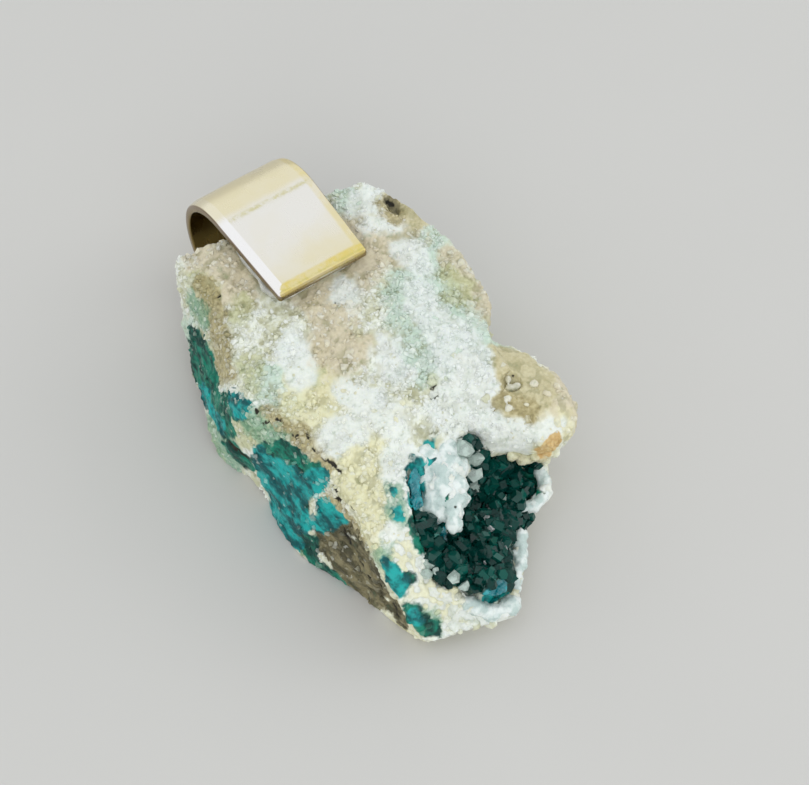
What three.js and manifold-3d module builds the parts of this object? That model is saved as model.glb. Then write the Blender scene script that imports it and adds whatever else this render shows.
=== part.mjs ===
// A raw mineral pendant: a hand-broken piece of pale quartz rock with a hollow of dark green
// dioptase crystals at one end and a flat gold strap bent over the other end as a bail.
// Millimetres. +Z comes out of the front face, +Y points at the bail, the back rests on z = 0.
import * as THREE from "three";
import { mergeVertices } from "three/addons/utils/BufferGeometryUtils.js";
import Module from "manifold-3d";

const wasm = await Module();
wasm.setup();

// ---- driving sizes ----
const FRONT_Z = 11.9; // general height of the front face above the back
const RIM_Z = 2.9; // height of the low rim on the open side of the hollow
const END_Z = 2.3; // height of the thin lip at the lower end
const EDGE_CHAMFER = 0.6; // how far the edge of the front face is worn back
const FACE_CELL = 1.5; // width of one facet of the front face
// Roughness of the broken faces and walls: height and width of the lumps, coarse then fine.
const FACE_LUMPS = [
  [0.34, 1.7],
  [0.17, 0.8],
];
const WALL_LUMPS = [
  [0.36, 2.3],
  [0.2, 0.9],
];
const LUMP_FLATTEN = 0.6; // walls are rough outwards more than up and down
// Gentle swells of the front face, and how it falls off to each side: where the fall starts,
// how steep it is and how it curves.
const FACE_WAVES = { height: 0.25, alongX: 0.45, alongY: 0.31 };
const FALL_LEFT = { from: -4, rate: 0.13, power: 1.2 };
const FALL_RIGHT = { from: 9.6, rate: 0.22, power: 1.3 };
const FALL_TO_HOLLOW = { from: -6, reach: 4, rate: 0.12, power: 1.4 };

const STRAP_WIDTH = 9.3; // across the bail at its bend
const STRAP_TAPER = 0.06; // share of the width lost at the free ends
const STRAP_T = 0.9; // sheet thickness
const STRAP_R = 6.75; // outer radius of the bend
const STRAP_BEVEL = 0.14; // rounded long edges
const STRAP_X = 1.05; // middle of the strap across the stone
const BEND_Y = 16.1; // where the legs go over into the bend
const LEG_END_Y = 7.2; // free ends of both legs

const GAP = 0.3; // clear space between neighbouring pieces
const GLUE_T = 0.25; // thickness of the adhesive under each leg
const GLUE_END = 0.5; // how far the adhesive stops short of a leg's free end
const GLUE_BEND = 1.3; // and short of the bend
const GLUE_SIDE = 0.15; // and of the strap's long edges
const GLUE_UNEVEN = 0.07; // share by which its squeezed edge wanders
const SEAT_MARGIN = 1.4; // flat seat on the stone beyond the strap's leg
const STEP_SLOPE = 2.2; // length of the slope into the step under the back leg

const CRUST_T = 0.8; // thickness of the green crust under its crystals
const CRYSTALS_ON_FLOOR = 34;
const CRYSTALS_ON_WALL = 22;
const CRYSTAL_RADIUS = [0.6, 0.45]; // least, and how much more the thickest has
const CRYSTAL_LENGTH = [1.6, 1.4];
const POINT_STEEPNESS = 1.25; // height of a crystal's blunt point, as a share of its radius

// Stations round the stone, anticlockwise seen from the front, starting at the corner above
// the lobe: x and y of the edge of the front face, then x and y of the foot.
const STATIONS = [
  [12.0, -1.8, 10.8, -1.2],
  [12.3, 2.6, 11.2, 3.0],
  [12.0, 8.2, 10.9, 8.2],
  [11.0, 12.0, 9.9, 11.6],
  [9.4, 14.4, 8.2, 13.6],
  [6.9, 15.1, 6.2, 14.4],
  [3.6, 15.6, 3.0, 15.0],
  [0.5, 16.0, 0.0, 15.4],
  [-3.6, 16.1, -3.5, 15.7],
  [-6.9, 17.0, -7.2, 16.4],
  [-8.0, 15.1, -8.7, 14.2],
  [-7.8, 12.1, -10.2, 11.2],
  [-8.2, 8.5, -11.3, 8.0],
  [-9.5, 5.5, -12.0, 5.2],
  [-10.8, 2.9, -11.7, 3.2],
  [-11.0, 1.0, -10.9, 1.1],
  [-10.3, -1.1, -10.8, -1.4],
  [-8.9, -3.7, -11.5, -4.3],
  [-8.4, -6.5, -11.6, -7.5],
  [-7.8, -9.5, -10.7, -10.1],
  [-8.2, -12.8, -9.7, -12.7],
  [-8.5, -15.5, -8.8, -15.4],
  [-8.6, -18.3, -8.2, -18.2],
  [-7.9, -21.3, -7.2, -20.2],
  [-4.3, -22.2, -4.3, -20.9],
  [-1.8, -22.9, -2.0, -21.4],
  [-0.2, -23.0, -0.6, -21.5],
  [0.9, -21.7, 0.3, -20.3],
  [2.4, -20.0, 1.8, -18.5],
  [3.6, -18.1, 3.1, -16.6],
  [5.0, -17.0, 5.0, -15.3],
  [6.8, -16.5, 6.6, -14.6],
  [8.2, -15.2, 8.2, -13.0],
  [8.7, -12.6, 9.2, -10.8],
  [9.2, -9.0, 10.2, -8.0],
  [9.6, -5.2, 9.8, -4.6],
  [10.1, -3.3, 9.6, -2.8],
];
const SAMPLES_PER_STATION = 2;
const WALL_LEVELS = [0, 0.1, 0.32, 0.55, 0.78, 0.94]; // shares of the wall height, foot to edge
const WALL_BULGE = 0.55;
const SKY_Z = FRONT_Z + 4; // a height above everything on the stone
const [BLOCK_WIDTH, BLOCK_LENGTH] = [30, 46]; // a block that covers the whole stone
const MIDDLE = [0.6, -0.6]; // the middle of the stone, which its walls bulge away from

// The end face falls away from the front face, and the corner beside the hollow drops to a
// narrow shelf along the rim line from RIM_A to RIM_B.
const END_FALL = { from: -11.6, rate: 0.2, power: 1.62 };
const RIM_A = [-0.1, -23.1];
const RIM_B = [8.2, -15.2];
const RIM_SHELF = 2.2; // width of the shelf
const RIM_SLOPE = 3.4;
const RIM_TOP_Y = -13.2; // above this the corner has its full height again

// The hollow: its rim seen from the front, anticlockwise from the far left.
const HOLLOW_RIM = [
  [-2.9, -11.0],
  [-3.9, -12.2],
  [-4.5, -13.7],
  [-4.9, -15.3],
  [-5.1, -16.9],
  [-5.5, -18.1],
  [-5.3, -19.1],
  [-4.3, -19.9],
  [-3.4, -20.8],
  [-2.4, -21.8],
  [-1.3, -22.3],
  [-0.3, -22.0],
  [0.8, -20.8],
  [2.0, -19.3],
  [3.0, -17.8],
  [4.1, -16.8],
  [5.7, -16.1],
  [7.1, -15.4],
  [7.7, -14.1],
  [7.0, -12.6],
  [5.5, -11.6],
  [3.8, -10.9],
  [2.0, -10.6],
  [0.2, -10.6],
  [-1.5, -10.7],
];
const HOLLOW_FLOOR = 1.6; // height of the hollow's floor on its open side
const HOLLOW_RISE = 0.42; // how fast the floor rises towards the left
const HOLLOW_FLAT_X = 2.5; // right of this the floor is level
const CRUST_TOP = 11.4; // highest edge of the crust, lower under the lobe
const LEAST_WALL = 1.6; // height of the crust's edge where the hollow is open
const HOLLOW_SAMPLES = 28;
const HOLLOW_WALL = [
  [0, 1.5],
  [0.3, 0.6],
  [0.65, 0.2],
  [1, 0],
]; // share of the wall height, and how far the outline is drawn in there

// The lobe that stands out over the hollow on the right, seen from the front.
const LOBE = [
  [7.6, -4.4],
  [4.8, -5.6],
  [3.4, -8.4],
  [3.9, -11.2],
  [5.6, -12.9],
  [7.3, -14.5],
  [8.9, -14.8],
  [10.4, -14.6],
  [11.8, -14.1],
  [12.7, -12.8],
  [12.9, -11.0],
  [12.5, -8.3],
  [11.6, -5.7],
  [9.9, -4.2],
];
const LOBE_LEVELS = [
  [5.2, 2.1],
  [6.1, 0.8],
  [7.8, 0.1],
  [9.5, 0.1],
  [10.6, 0.7],
  [11.1, 2.0],
]; // height, and how far the outline is drawn in there
const LOBE_SAMPLES = 26;
const LOBE_LUMPS = [0.5, 2.4];
const UNDER_LOBE_X = 2.5; // right of this the crust's edge keeps under the lobe
const UNDER_LOBE_SLOPE = 1.3;

// Rounded quartz growths, each x, y, z, radius: the tongue that hangs over the hollow, the
// hooked ridge on its right, the scalloped rim round its lower end, and loose lumps.
const TONGUE = [
  [-0.9, -10.5, 9.4, 1.6],
  [0.9, -10.7, 9.4, 1.5],
  [0.0, -12.0, 9.4, 1.4],
  [1.0, -12.2, 8.9, 1.15],
  [-1.6, -12.2, 9.1, 1.0],
  [-1.0, -13.1, 9.2, 1.1],
  [0.0, -13.7, 9.0, 0.95],
  [-2.1, -13.5, 8.8, 0.8],
  [-1.1, -14.4, 8.8, 1.0],
  [-0.3, -14.7, 8.6, 0.75],
  [-1.4, -15.3, 8.5, 0.8],
  [-1.8, -16.1, 8.2, 0.65],
];
const HOOK = [
  [9.0, -12.7, 4.4, 0.7],
  [8.5, -14.0, 3.7, 0.65],
  [8.3, -14.8, 3.5, 0.62],
  [7.8, -15.5, 3.4, 0.6],
  [7.1, -15.9, 3.3, 0.62],
  [6.3, -16.1, 3.2, 0.66],
  [5.5, -16.0, 3.0, 0.6],
];
const RIM = [
  [4.7, -16.95, 2.6, 0.45],
  [3.9, -17.5, 2.5, 0.5],
  [3.3, -18.25, 2.5, 0.48],
  [2.65, -19.25, 2.5, 0.48],
  [1.95, -20.15, 2.5, 0.5],
  [1.1, -20.95, 2.5, 0.52],
  [0.3, -21.7, 2.4, 0.58],
  [-0.5, -22.4, 2.4, 0.62],
  [-1.5, -22.5, 2.5, 0.58],
  [-2.6, -21.9, 3.1, 0.6],
  [-3.6, -20.9, 4.0, 0.62],
  [-4.6, -19.9, 4.9, 0.6],
  [-5.8, -19.0, 5.6, 0.5],
];
const FACE_BUMPS = [
  [9.2, 13.1, 10.6, 1.6],
  [8.0, -13.2, 9.1, 1.5],
  [10.2, -13.6, 8.9, 1.2],
  [9.5, -14.1, 6.4, 0.75],
];
const KNOB_UNEVEN = 0.3; // how much the facets of a rounded growth vary
const KNOB_SQUASH = 0.9;
const RIDGE_SIDES = 7;
const RIDGE_STEP = 0.7; // distance between sections of a ridge
const RIDGE_UNEVEN = 0.16;
const SCALLOP = 2.3; // length of one scallop along a ridge
const SCALLOP_SWELL = 0.2; // share by which a scallop swells and narrows
const RIDGE_END = 0.55; // size of a ridge's first and last section
// Small pits broken into the front face.
const PITS = [
  [10.2, 10.7, 12.0, 1.0],
  [-4.6, 11.4, 12.1, 0.85],
  [8.6, -9.2, 11.2, 0.9],
];

// ---- helpers ----
const UP = new THREE.Vector3(0, 0, 1);

// Repeatable number from 0 to 1 for a grid corner.
function hash(i, j, k) {
  const s = Math.sin(i * 127.1 + j * 311.7 + k * 74.7) * 43758.5453;
  return s - Math.floor(s);
}

// Smooth noise from -1 to 1.
function noise(x, y, z) {
  const [i, j, k] = [Math.floor(x), Math.floor(y), Math.floor(z)];
  const ease = (t) => t * t * (3 - 2 * t);
  const [u, v, w] = [ease(x - i), ease(y - j), ease(z - k)];
  let sum = 0;
  for (const [a, b, c] of [
    [0, 0, 0],
    [1, 0, 0],
    [0, 1, 0],
    [1, 1, 0],
    [0, 0, 1],
    [1, 0, 1],
    [0, 1, 1],
    [1, 1, 1],
  ])
    sum += hash(i + a, j + b, k + c) * (a ? u : 1 - u) * (b ? v : 1 - v) * (c ? w : 1 - w);
  return 2 * sum - 1;
}

// Moves a point by rough, rock-like noise of an amount and a size; up scales its vertical part.
function roughen(p, [amount, size], up = 1) {
  const [x, y, z] = [p.x / size, p.y / size, p.z / size];
  p.x += amount * noise(x + 11, y, z);
  p.y += amount * noise(x, y + 23, z);
  p.z += amount * up * noise(x, y, z + 37);
  return p;
}

// Rounded closed outline through [x, y] points, as count points.
function closedCurve(points, count) {
  const curve = new THREE.CatmullRomCurve3(
    points.map(([x, y]) => new THREE.Vector3(x, y, 0)),
    true,
    "centripetal",
  );
  return Array.from({ length: count }, (_, i) => curve.getPoint(i / count));
}

// The middle of a ring of points.
function middleOf(ring) {
  return ring.reduce((m, p) => m.add(p), new THREE.Vector3()).divideScalar(ring.length);
}

// Closed skin over rings of equal length, from the lowest ring to the last, shut by a fan
// at each end.
function skin(rings, firstCentre, lastCentre) {
  const n = rings[0].length;
  const position = [];
  for (const ring of rings) for (const p of ring) position.push(p.x, p.y, p.z);
  position.push(firstCentre.x, firstCentre.y, firstCentre.z);
  position.push(lastCentre.x, lastCentre.y, lastCentre.z);
  const first = rings.length * n;
  const index = [];
  for (let i = 0; i < n; i++) {
    const j = (i + 1) % n;
    index.push(first, j, i);
    for (let r = 0; r + 1 < rings.length; r++) {
      const [a, b] = [r * n, (r + 1) * n];
      index.push(a + i, a + j, b + j, a + i, b + j, b + i);
    }
    const last = (rings.length - 1) * n;
    index.push(first + 1, last + i, last + j);
  }
  const geometry = new THREE.BufferGeometry();
  geometry.setAttribute("position", new THREE.Float32BufferAttribute(position, 3));
  geometry.setIndex(index);
  return geometry;
}

function solid(geometry) {
  const bare = geometry.clone();
  bare.deleteAttribute("normal");
  bare.deleteAttribute("uv");
  const merged = mergeVertices(bare, 1e-4);
  return new wasm.Manifold(
    new wasm.Mesh({
      numProp: 3,
      vertProperties: new Float32Array(merged.attributes.position.array),
      triVerts: new Uint32Array(merged.index.array),
    }),
  );
}

function joined(solids) {
  return solids.reduce((all, one) => all.add(one));
}

function geometryOf(whole) {
  const made = whole.getMesh();
  const geometry = new THREE.BufferGeometry();
  geometry.setAttribute("position", new THREE.Float32BufferAttribute(made.vertProperties, 3));
  geometry.setIndex(Array.from(made.triVerts));
  return geometry;
}

// The largest connected body of a solid, so that no loose crumb is left.
function largest(whole) {
  const biggest = (pieces) => pieces.reduce((a, b) => (a.volume() > b.volume() ? a : b));
  const rounded = mergeVertices(geometryOf(biggest(whole.decompose())), 1e-3);
  return biggest(solid(rounded).decompose());
}

function meshOf(whole, name, material) {
  const geometry = geometryOf(whole);
  geometry.computeVertexNormals();
  const mesh = new THREE.Mesh(geometry, material);
  mesh.name = name;
  return mesh;
}

// ---- the rock ----
// Height of the front face, the end face and the corner beside the hollow.
function frontZ(x, y) {
  const fall = ({ rate, power, reach = Infinity }, distance) =>
    rate * Math.min(reach, Math.max(0, distance)) ** power;
  const { height, alongX, alongY } = FACE_WAVES;
  const face =
    FRONT_Z +
    height * Math.sin(alongX * x + 0.6) * Math.cos(alongY * y) -
    fall(FALL_LEFT, FALL_LEFT.from - x) -
    fall(FALL_RIGHT, x - FALL_RIGHT.from) -
    fall(FALL_TO_HOLLOW, FALL_TO_HOLLOW.from - y);
  const end = Math.max(END_Z, face - fall(END_FALL, END_FALL.from - y));
  const [dx, dy] = [RIM_B[0] - RIM_A[0], RIM_B[1] - RIM_A[1]];
  const inside = ((x - RIM_A[0]) * -dy + (y - RIM_A[1]) * dx) / Math.hypot(dx, dy);
  const corner = RIM_Z + RIM_SLOPE * Math.max(0, inside - RIM_SHELF, y - RIM_TOP_Y);
  return Math.min(end, corner);
}

function underStrap(p) {
  const reach = STRAP_WIDTH / 2 + SEAT_MARGIN;
  return Math.abs(p.x - STRAP_X) < reach && p.y > LEG_END_Y - SEAT_MARGIN;
}

const strapInnerZ = 2 * STRAP_R - STRAP_T; // underside of the front leg
const frontSeatZ = strapInnerZ - GLUE_T - 2 * GAP; // stone under the front leg
const backSeatZ = STRAP_T + GLUE_T + 2 * GAP; // stone over the back leg

// The walls of the stone, carried on above the front face.
function walls() {
  const count = STATIONS.length * SAMPLES_PER_STATION;
  const edge = closedCurve(STATIONS.map(([x, y]) => [x, y]), count);
  const foot = closedCurve(STATIONS.map(([, , x, y]) => [x, y]), count);
  const outwards = (p) => new THREE.Vector3(p.x - MIDDLE[0], p.y - MIDDLE[1], 0).normalize();
  const rings = WALL_LEVELS.map((share) =>
    edge.map((e, i) => {
      const top = frontZ(e.x, e.y);
      const p = new THREE.Vector3().lerpVectors(foot[i], e, share);
      p.addScaledVector(outwards(p), (WALL_BULGE * Math.sin(Math.PI * share) * top) / FRONT_Z);
      p.z = top * share;
      if (share > 0) for (const lumps of WALL_LUMPS) roughen(p, lumps, LUMP_FLATTEN);
      return p;
    }),
  );
  const worn = edge.map((e) => e.clone().addScaledVector(outwards(e), -EDGE_CHAMFER));
  rings.push(
    worn.map((p) => p.clone().setZ(frontZ(p.x, p.y) + 1)),
    worn.map((p) => p.clone().setZ(SKY_Z)),
  );
  const middle = new THREE.Vector3(MIDDLE[0], MIDDLE[1], 0);
  return solid(skin(rings, middle, middle.clone().setZ(SKY_Z)));
}

// A block under the front face, with the face's lumps on its upper side.
function faceBlock() {
  const [across, along] = [BLOCK_WIDTH, BLOCK_LENGTH].map((size) => Math.round(size / FACE_CELL));
  const geometry = new THREE.BoxGeometry(BLOCK_WIDTH, BLOCK_LENGTH, 1, across, along, 1);
  const position = geometry.attributes.position;
  const p = new THREE.Vector3();
  for (let i = 0; i < position.count; i++) {
    p.fromBufferAttribute(position, i);
    if (p.z < 0) p.z = -1;
    else {
      p.z = frontZ(p.x, p.y);
      for (const lumps of FACE_LUMPS) roughen(p, lumps);
      if (underStrap(p)) p.z = Math.min(p.z, frontSeatZ);
    }
    position.setXYZ(i, p.x, p.y, p.z);
  }
  return solid(geometry);
}

// The step in the back that leaves room for the strap's back leg.
function backStep() {
  const far = BEND_Y + STRAP_R;
  const top = LEG_END_Y - STRAP_T;
  const profile = new THREE.Shape([
    new THREE.Vector2(top - STEP_SLOPE, -backSeatZ),
    new THREE.Vector2(top - 0.6 * STEP_SLOPE, backSeatZ / 3),
    new THREE.Vector2(top, backSeatZ),
    new THREE.Vector2(far, backSeatZ),
    new THREE.Vector2(far, -backSeatZ),
  ]);
  const geometry = new THREE.ExtrudeGeometry(profile, { depth: BLOCK_WIDTH, bevelEnabled: false });
  return solid(alongX(geometry, -BLOCK_WIDTH / 2));
}

// Turns a shape drawn in y and z and pulled out along its own z so that it lies along +X.
function alongX(geometry, start) {
  const turn = new THREE.Matrix4().makeBasis(
    new THREE.Vector3(0, 1, 0),
    new THREE.Vector3(0, 0, 1),
    new THREE.Vector3(1, 0, 0),
  );
  return geometry.applyMatrix4(turn).translate(start, 0, 0);
}

// A lumpy ridge along [x, y, z, radius] points, swelling and narrowing in scallops.
function ridge(points, grow = 0) {
  const path = new THREE.CatmullRomCurve3(points.map(([x, y, z]) => new THREE.Vector3(x, y, z)));
  const steps = Math.round(path.getLength() / (grow ? 2 * RIDGE_STEP : RIDGE_STEP));
  const rings = [];
  for (let i = 0; i <= steps; i++) {
    const t = i / steps;
    const along = t * (points.length - 1);
    const k = Math.min(Math.floor(along), points.length - 2);
    const radius = points[k][3] + (points[k + 1][3] - points[k][3]) * (along - k);
    const wave = grow ? 0.75 : Math.sin((2 * Math.PI * i * RIDGE_STEP) / SCALLOP);
    const swell = 1 + SCALLOP_SWELL * wave;
    const end = i === 0 || i === steps ? RIDGE_END : 1;
    const centre = path.getPoint(t);
    const side = new THREE.Vector3().crossVectors(UP, path.getTangent(t)).normalize();
    rings.push(
      Array.from({ length: RIDGE_SIDES }, (_, j) => {
        const a = (2 * Math.PI * j) / RIDGE_SIDES;
        const reach = radius * swell * end * (1 + RIDGE_UNEVEN * (hash(i, j, 9) - 0.5)) + grow;
        return centre
          .clone()
          .addScaledVector(side, reach * Math.cos(a))
          .addScaledVector(UP, reach * Math.sin(a));
      }),
    );
  }
  return solid(skin(rings, path.getPoint(0), path.getPoint(1)));
}

// A rounded growth with slightly uneven facets; grow makes it that much larger all round.
function knob([x, y, z, radius], grow = 0) {
  const ball = new THREE.IcosahedronGeometry(radius + grow, 1);
  const geometry = mergeVertices(ball.deleteAttribute("uv").deleteAttribute("normal"), 1e-4);
  const position = geometry.attributes.position;
  const p = new THREE.Vector3();
  for (let i = 0; i < position.count; i++) {
    p.fromBufferAttribute(position, i);
    p.multiplyScalar(1 + KNOB_UNEVEN * (hash(x + i, y, z) - 0.5));
    position.setXYZ(i, p.x, p.y, p.z * KNOB_SQUASH);
  }
  geometry.rotateX(6 * hash(x, y, 1)).rotateZ(6 * hash(x, y, 2));
  return solid(geometry.translate(x, y, z));
}

function lobe(grow = 0) {
  const outline = closedCurve(LOBE, LOBE_SAMPLES);
  const middle = middleOf(outline);
  const ring = ([z, inset]) =>
    outline.map((o) => {
      const out = new THREE.Vector3().subVectors(o, middle).normalize();
      const p = o.clone().addScaledVector(out, grow - inset);
      p.z = z;
      return roughen(p, LOBE_LUMPS, 0.8);
    });
  const rings = LOBE_LEVELS.map(ring);
  const [low, high] = [middle.clone(), middle.clone()];
  low.z = LOBE_LEVELS[0][0] - 0.3 - grow;
  high.z = LOBE_LEVELS.at(-1)[0] + 0.2 + grow;
  return solid(skin(rings, low, high));
}

function growths(grow = 0) {
  return [lobe(grow), ridge(HOOK, grow), ridge(RIM, grow), ...TONGUE.map((k) => knob(k, grow))];
}

// ---- the hollow ----
function floorZ(x) {
  return HOLLOW_FLOOR + HOLLOW_RISE * Math.max(0, HOLLOW_FLAT_X - x);
}

// One ring of the hollow's wall, at a share of the wall's height; inset is the distance kept
// from the rock, and taper is how far the wall leans in there.
function hollowRing(share, inset, taper) {
  const outline = closedCurve(HOLLOW_RIM, HOLLOW_SAMPLES);
  const middle = middleOf(outline);
  return outline.map((o) => {
    const inward = new THREE.Vector3().subVectors(middle, o).normalize();
    const p = o.clone().addScaledVector(inward, inset + taper);
    const underLobe = CRUST_TOP - UNDER_LOBE_SLOPE * Math.max(0, o.x - UNDER_LOBE_X);
    const rim = Math.min(frontZ(o.x, o.y) - GAP, underLobe);
    const height = Math.max(LEAST_WALL, rim - floorZ(o.x));
    p.z = floorZ(p.x) + height * share + inset * (1 - share);
    return p;
  });
}

// The space of the hollow, drawn in by inset, up to its rim or open to the sky.
function hollow(inset, open) {
  const rings = HOLLOW_WALL.map(([share, taper]) => hollowRing(share, inset, taper));
  if (open) rings.push(rings.at(-1).map((p) => p.clone().setZ(SKY_Z)));
  const low = middleOf(rings[0]);
  low.z -= 0.25;
  return solid(skin(rings, low, middleOf(rings.at(-1))));
}

// A dioptase crystal standing on the origin along +Z: a six-sided prism under a blunt
// three-faced point.
function crystal(radius, length) {
  const corners = Array.from({ length: 6 }, (_, i) => (i * Math.PI) / 3);
  const point = length;
  const low = length - POINT_STEEPNESS * radius;
  const high = (point + low) / 2;
  const foot = corners.map((a) => new THREE.Vector3(radius, 0, 0).applyAxisAngle(UP, a));
  const shoulder = foot.map((p, i) => new THREE.Vector3(p.x, p.y, i % 2 ? low : high));
  return skin([foot, shoulder], new THREE.Vector3(), new THREE.Vector3(0, 0, point));
}

// Crystal number i of the crust, grown from a point in a direction.
function placedCrystal(i, at, towards) {
  const radius = CRYSTAL_RADIUS[0] + CRYSTAL_RADIUS[1] * hash(i, 5, 0);
  const length = CRYSTAL_LENGTH[0] + CRYSTAL_LENGTH[1] * hash(i, 6, 0);
  const turn = new THREE.Quaternion().setFromUnitVectors(UP, towards.normalize());
  const geometry = crystal(radius, length).rotateZ(6 * hash(i, 7, 0));
  return solid(geometry.applyQuaternion(turn).translate(at.x, at.y, at.z));
}

function dioptaseCrust() {
  const shell = hollow(GAP, false).subtract(hollow(GAP + CRUST_T, true));
  const crystals = [];
  const floor = hollowRing(0, GAP, 1.5);
  const middle = middleOf(floor);
  for (let i = 0; i < CRYSTALS_ON_FLOOR; i++) {
    const edge = floor[Math.floor(hash(i, 1, 0) * floor.length)];
    const at = middle.clone().lerp(edge, Math.sqrt(hash(i, 2, 0)));
    const lean = new THREE.Vector3(hash(i, 3, 0) - 0.5, hash(i, 4, 0) - 0.5, 0.75);
    crystals.push(placedCrystal(i, at, lean));
  }
  for (let i = 0; i < CRYSTALS_ON_WALL; i++) {
    const ring = hollowRing(0.15 + 0.75 * hash(i, 11, 0), GAP, 0.5);
    const at = ring[Math.floor(((i + hash(i, 12, 0)) / CRYSTALS_ON_WALL) * ring.length) % ring.length];
    const inward = new THREE.Vector3().subVectors(middle, at).setZ(0).normalize();
    inward.add(new THREE.Vector3(hash(i, 13, 0) - 0.5, hash(i, 14, 0) - 0.5, 0.9 * hash(i, 15, 0)));
    crystals.push(placedCrystal(CRYSTALS_ON_FLOOR + i, at, inward));
  }
  const inside = joined(crystals).intersect(hollow(GAP + CRUST_T / 3, true));
  return largest(shell.add(inside).subtract(joined(growths(GAP))));
}

// ---- the bail ----
function strap() {
  const top = 2 * STRAP_R;
  const inner = STRAP_R - STRAP_T;
  const shape = new THREE.Shape();
  shape.moveTo(LEG_END_Y, top);
  shape.lineTo(BEND_Y, top);
  shape.absarc(BEND_Y, STRAP_R, STRAP_R, Math.PI / 2, -Math.PI / 2, true);
  shape.lineTo(LEG_END_Y, 0);
  shape.lineTo(LEG_END_Y, STRAP_T);
  shape.lineTo(BEND_Y, STRAP_T);
  shape.absarc(BEND_Y, STRAP_R, inner, -Math.PI / 2, Math.PI / 2, false);
  shape.lineTo(LEG_END_Y, top - STRAP_T);
  shape.closePath();
  const geometry = new THREE.ExtrudeGeometry(shape, {
    depth: STRAP_WIDTH - 2 * STRAP_BEVEL,
    curveSegments: 14,
    bevelEnabled: true,
    bevelSize: STRAP_BEVEL,
    bevelOffset: -STRAP_BEVEL,
    bevelThickness: STRAP_BEVEL,
    bevelSegments: 1,
  });
  alongX(geometry, -STRAP_WIDTH / 2 + STRAP_BEVEL);
  const position = geometry.attributes.position;
  for (let i = 0; i < position.count; i++) {
    const out = Math.max(0, BEND_Y - position.getY(i)) / (BEND_Y - LEG_END_Y);
    position.setX(i, STRAP_X + position.getX(i) * (1 - STRAP_TAPER * out));
  }
  return solid(geometry);
}

// The adhesive under a leg, a thin pad with a squeezed-out, uneven edge; z is its underside.
function gluePad(z, seed) {
  const halfX = STRAP_WIDTH / 2 - GLUE_SIDE;
  const halfY = (BEND_Y - GLUE_BEND - LEG_END_Y - GLUE_END) / 2;
  const middleY = LEG_END_Y + GLUE_END + halfY;
  const count = 28;
  const points = [];
  for (let i = 0; i < count; i++) {
    const a = (2 * Math.PI * i) / count;
    const square = Math.pow(Math.abs(Math.cos(a)) ** 6 + Math.abs(Math.sin(a)) ** 6, -1 / 6);
    const reach = square * (1 + GLUE_UNEVEN * (hash(i, seed, 5) - 0.5));
    const [x, y] = [halfX * reach * Math.cos(a), halfY * reach * Math.sin(a)];
    points.push(new THREE.Vector2(STRAP_X + x, middleY + y));
  }
  const geometry = new THREE.ExtrudeGeometry(new THREE.Shape(points), {
    depth: GLUE_T,
    bevelEnabled: false,
  });
  return solid(geometry.translate(0, 0, z));
}

// ---- put together ----
const rock = walls()
  .intersect(faceBlock())
  .add(joined(FACE_BUMPS.map((k) => knob(k))))
  .subtract(hollow(0, true))
  .subtract(backStep())
  .add(joined(growths()))
  .subtract(joined(PITS.map((k) => knob(k))));

const colours = {
  rock: new THREE.MeshStandardMaterial({ color: 0xcfd3c2, roughness: 0.8, metalness: 0 }),
  dioptase: new THREE.MeshStandardMaterial({ color: 0x06483f, roughness: 0.25, metalness: 0 }),
  gold: new THREE.MeshStandardMaterial({ color: 0xd9bd7a, roughness: 0.28, metalness: 1 }),
  glue: new THREE.MeshStandardMaterial({ color: 0xe4e6de, roughness: 0.35, metalness: 0 }),
};

const pendant = new THREE.Group();
pendant.add(
  meshOf(largest(rock), "rock", colours.rock),
  meshOf(dioptaseCrust(), "dioptase_crust", colours.dioptase),
  meshOf(strap(), "bail", colours.gold),
  meshOf(gluePad(strapInnerZ - GAP - GLUE_T, 1), "glue_front", colours.glue),
  meshOf(gluePad(STRAP_T + GAP, 2), "glue_back", colours.glue),
);

// Stand the pendant on z = 0 with its box centred on the origin.
const box = new THREE.Box3().setFromObject(pendant);
const centre = box.getCenter(new THREE.Vector3());
for (const mesh of pendant.children) mesh.geometry.translate(-centre.x, -centre.y, -box.min.z);

export default pendant;
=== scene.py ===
import math

import bmesh
import bpy
import numpy as np
from mathutils import Matrix, Vector
from mathutils.bvhtree import BVHTree
from mathutils.kdtree import KDTree


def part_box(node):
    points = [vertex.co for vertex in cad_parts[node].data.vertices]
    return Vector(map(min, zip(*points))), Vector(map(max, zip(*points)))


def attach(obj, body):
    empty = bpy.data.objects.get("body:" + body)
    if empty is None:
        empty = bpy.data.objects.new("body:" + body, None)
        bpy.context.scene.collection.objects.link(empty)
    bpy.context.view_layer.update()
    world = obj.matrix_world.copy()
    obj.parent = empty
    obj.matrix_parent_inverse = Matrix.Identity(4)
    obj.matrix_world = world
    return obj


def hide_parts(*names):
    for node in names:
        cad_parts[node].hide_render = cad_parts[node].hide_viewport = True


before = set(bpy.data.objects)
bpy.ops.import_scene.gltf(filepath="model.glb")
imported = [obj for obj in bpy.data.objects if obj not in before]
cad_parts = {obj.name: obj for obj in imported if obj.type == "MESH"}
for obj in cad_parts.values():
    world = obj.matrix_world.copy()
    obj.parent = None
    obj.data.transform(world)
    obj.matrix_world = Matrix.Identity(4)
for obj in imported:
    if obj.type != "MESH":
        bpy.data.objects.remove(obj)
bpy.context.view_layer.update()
rng = np.random.default_rng(20)
join = np.concatenate

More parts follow.
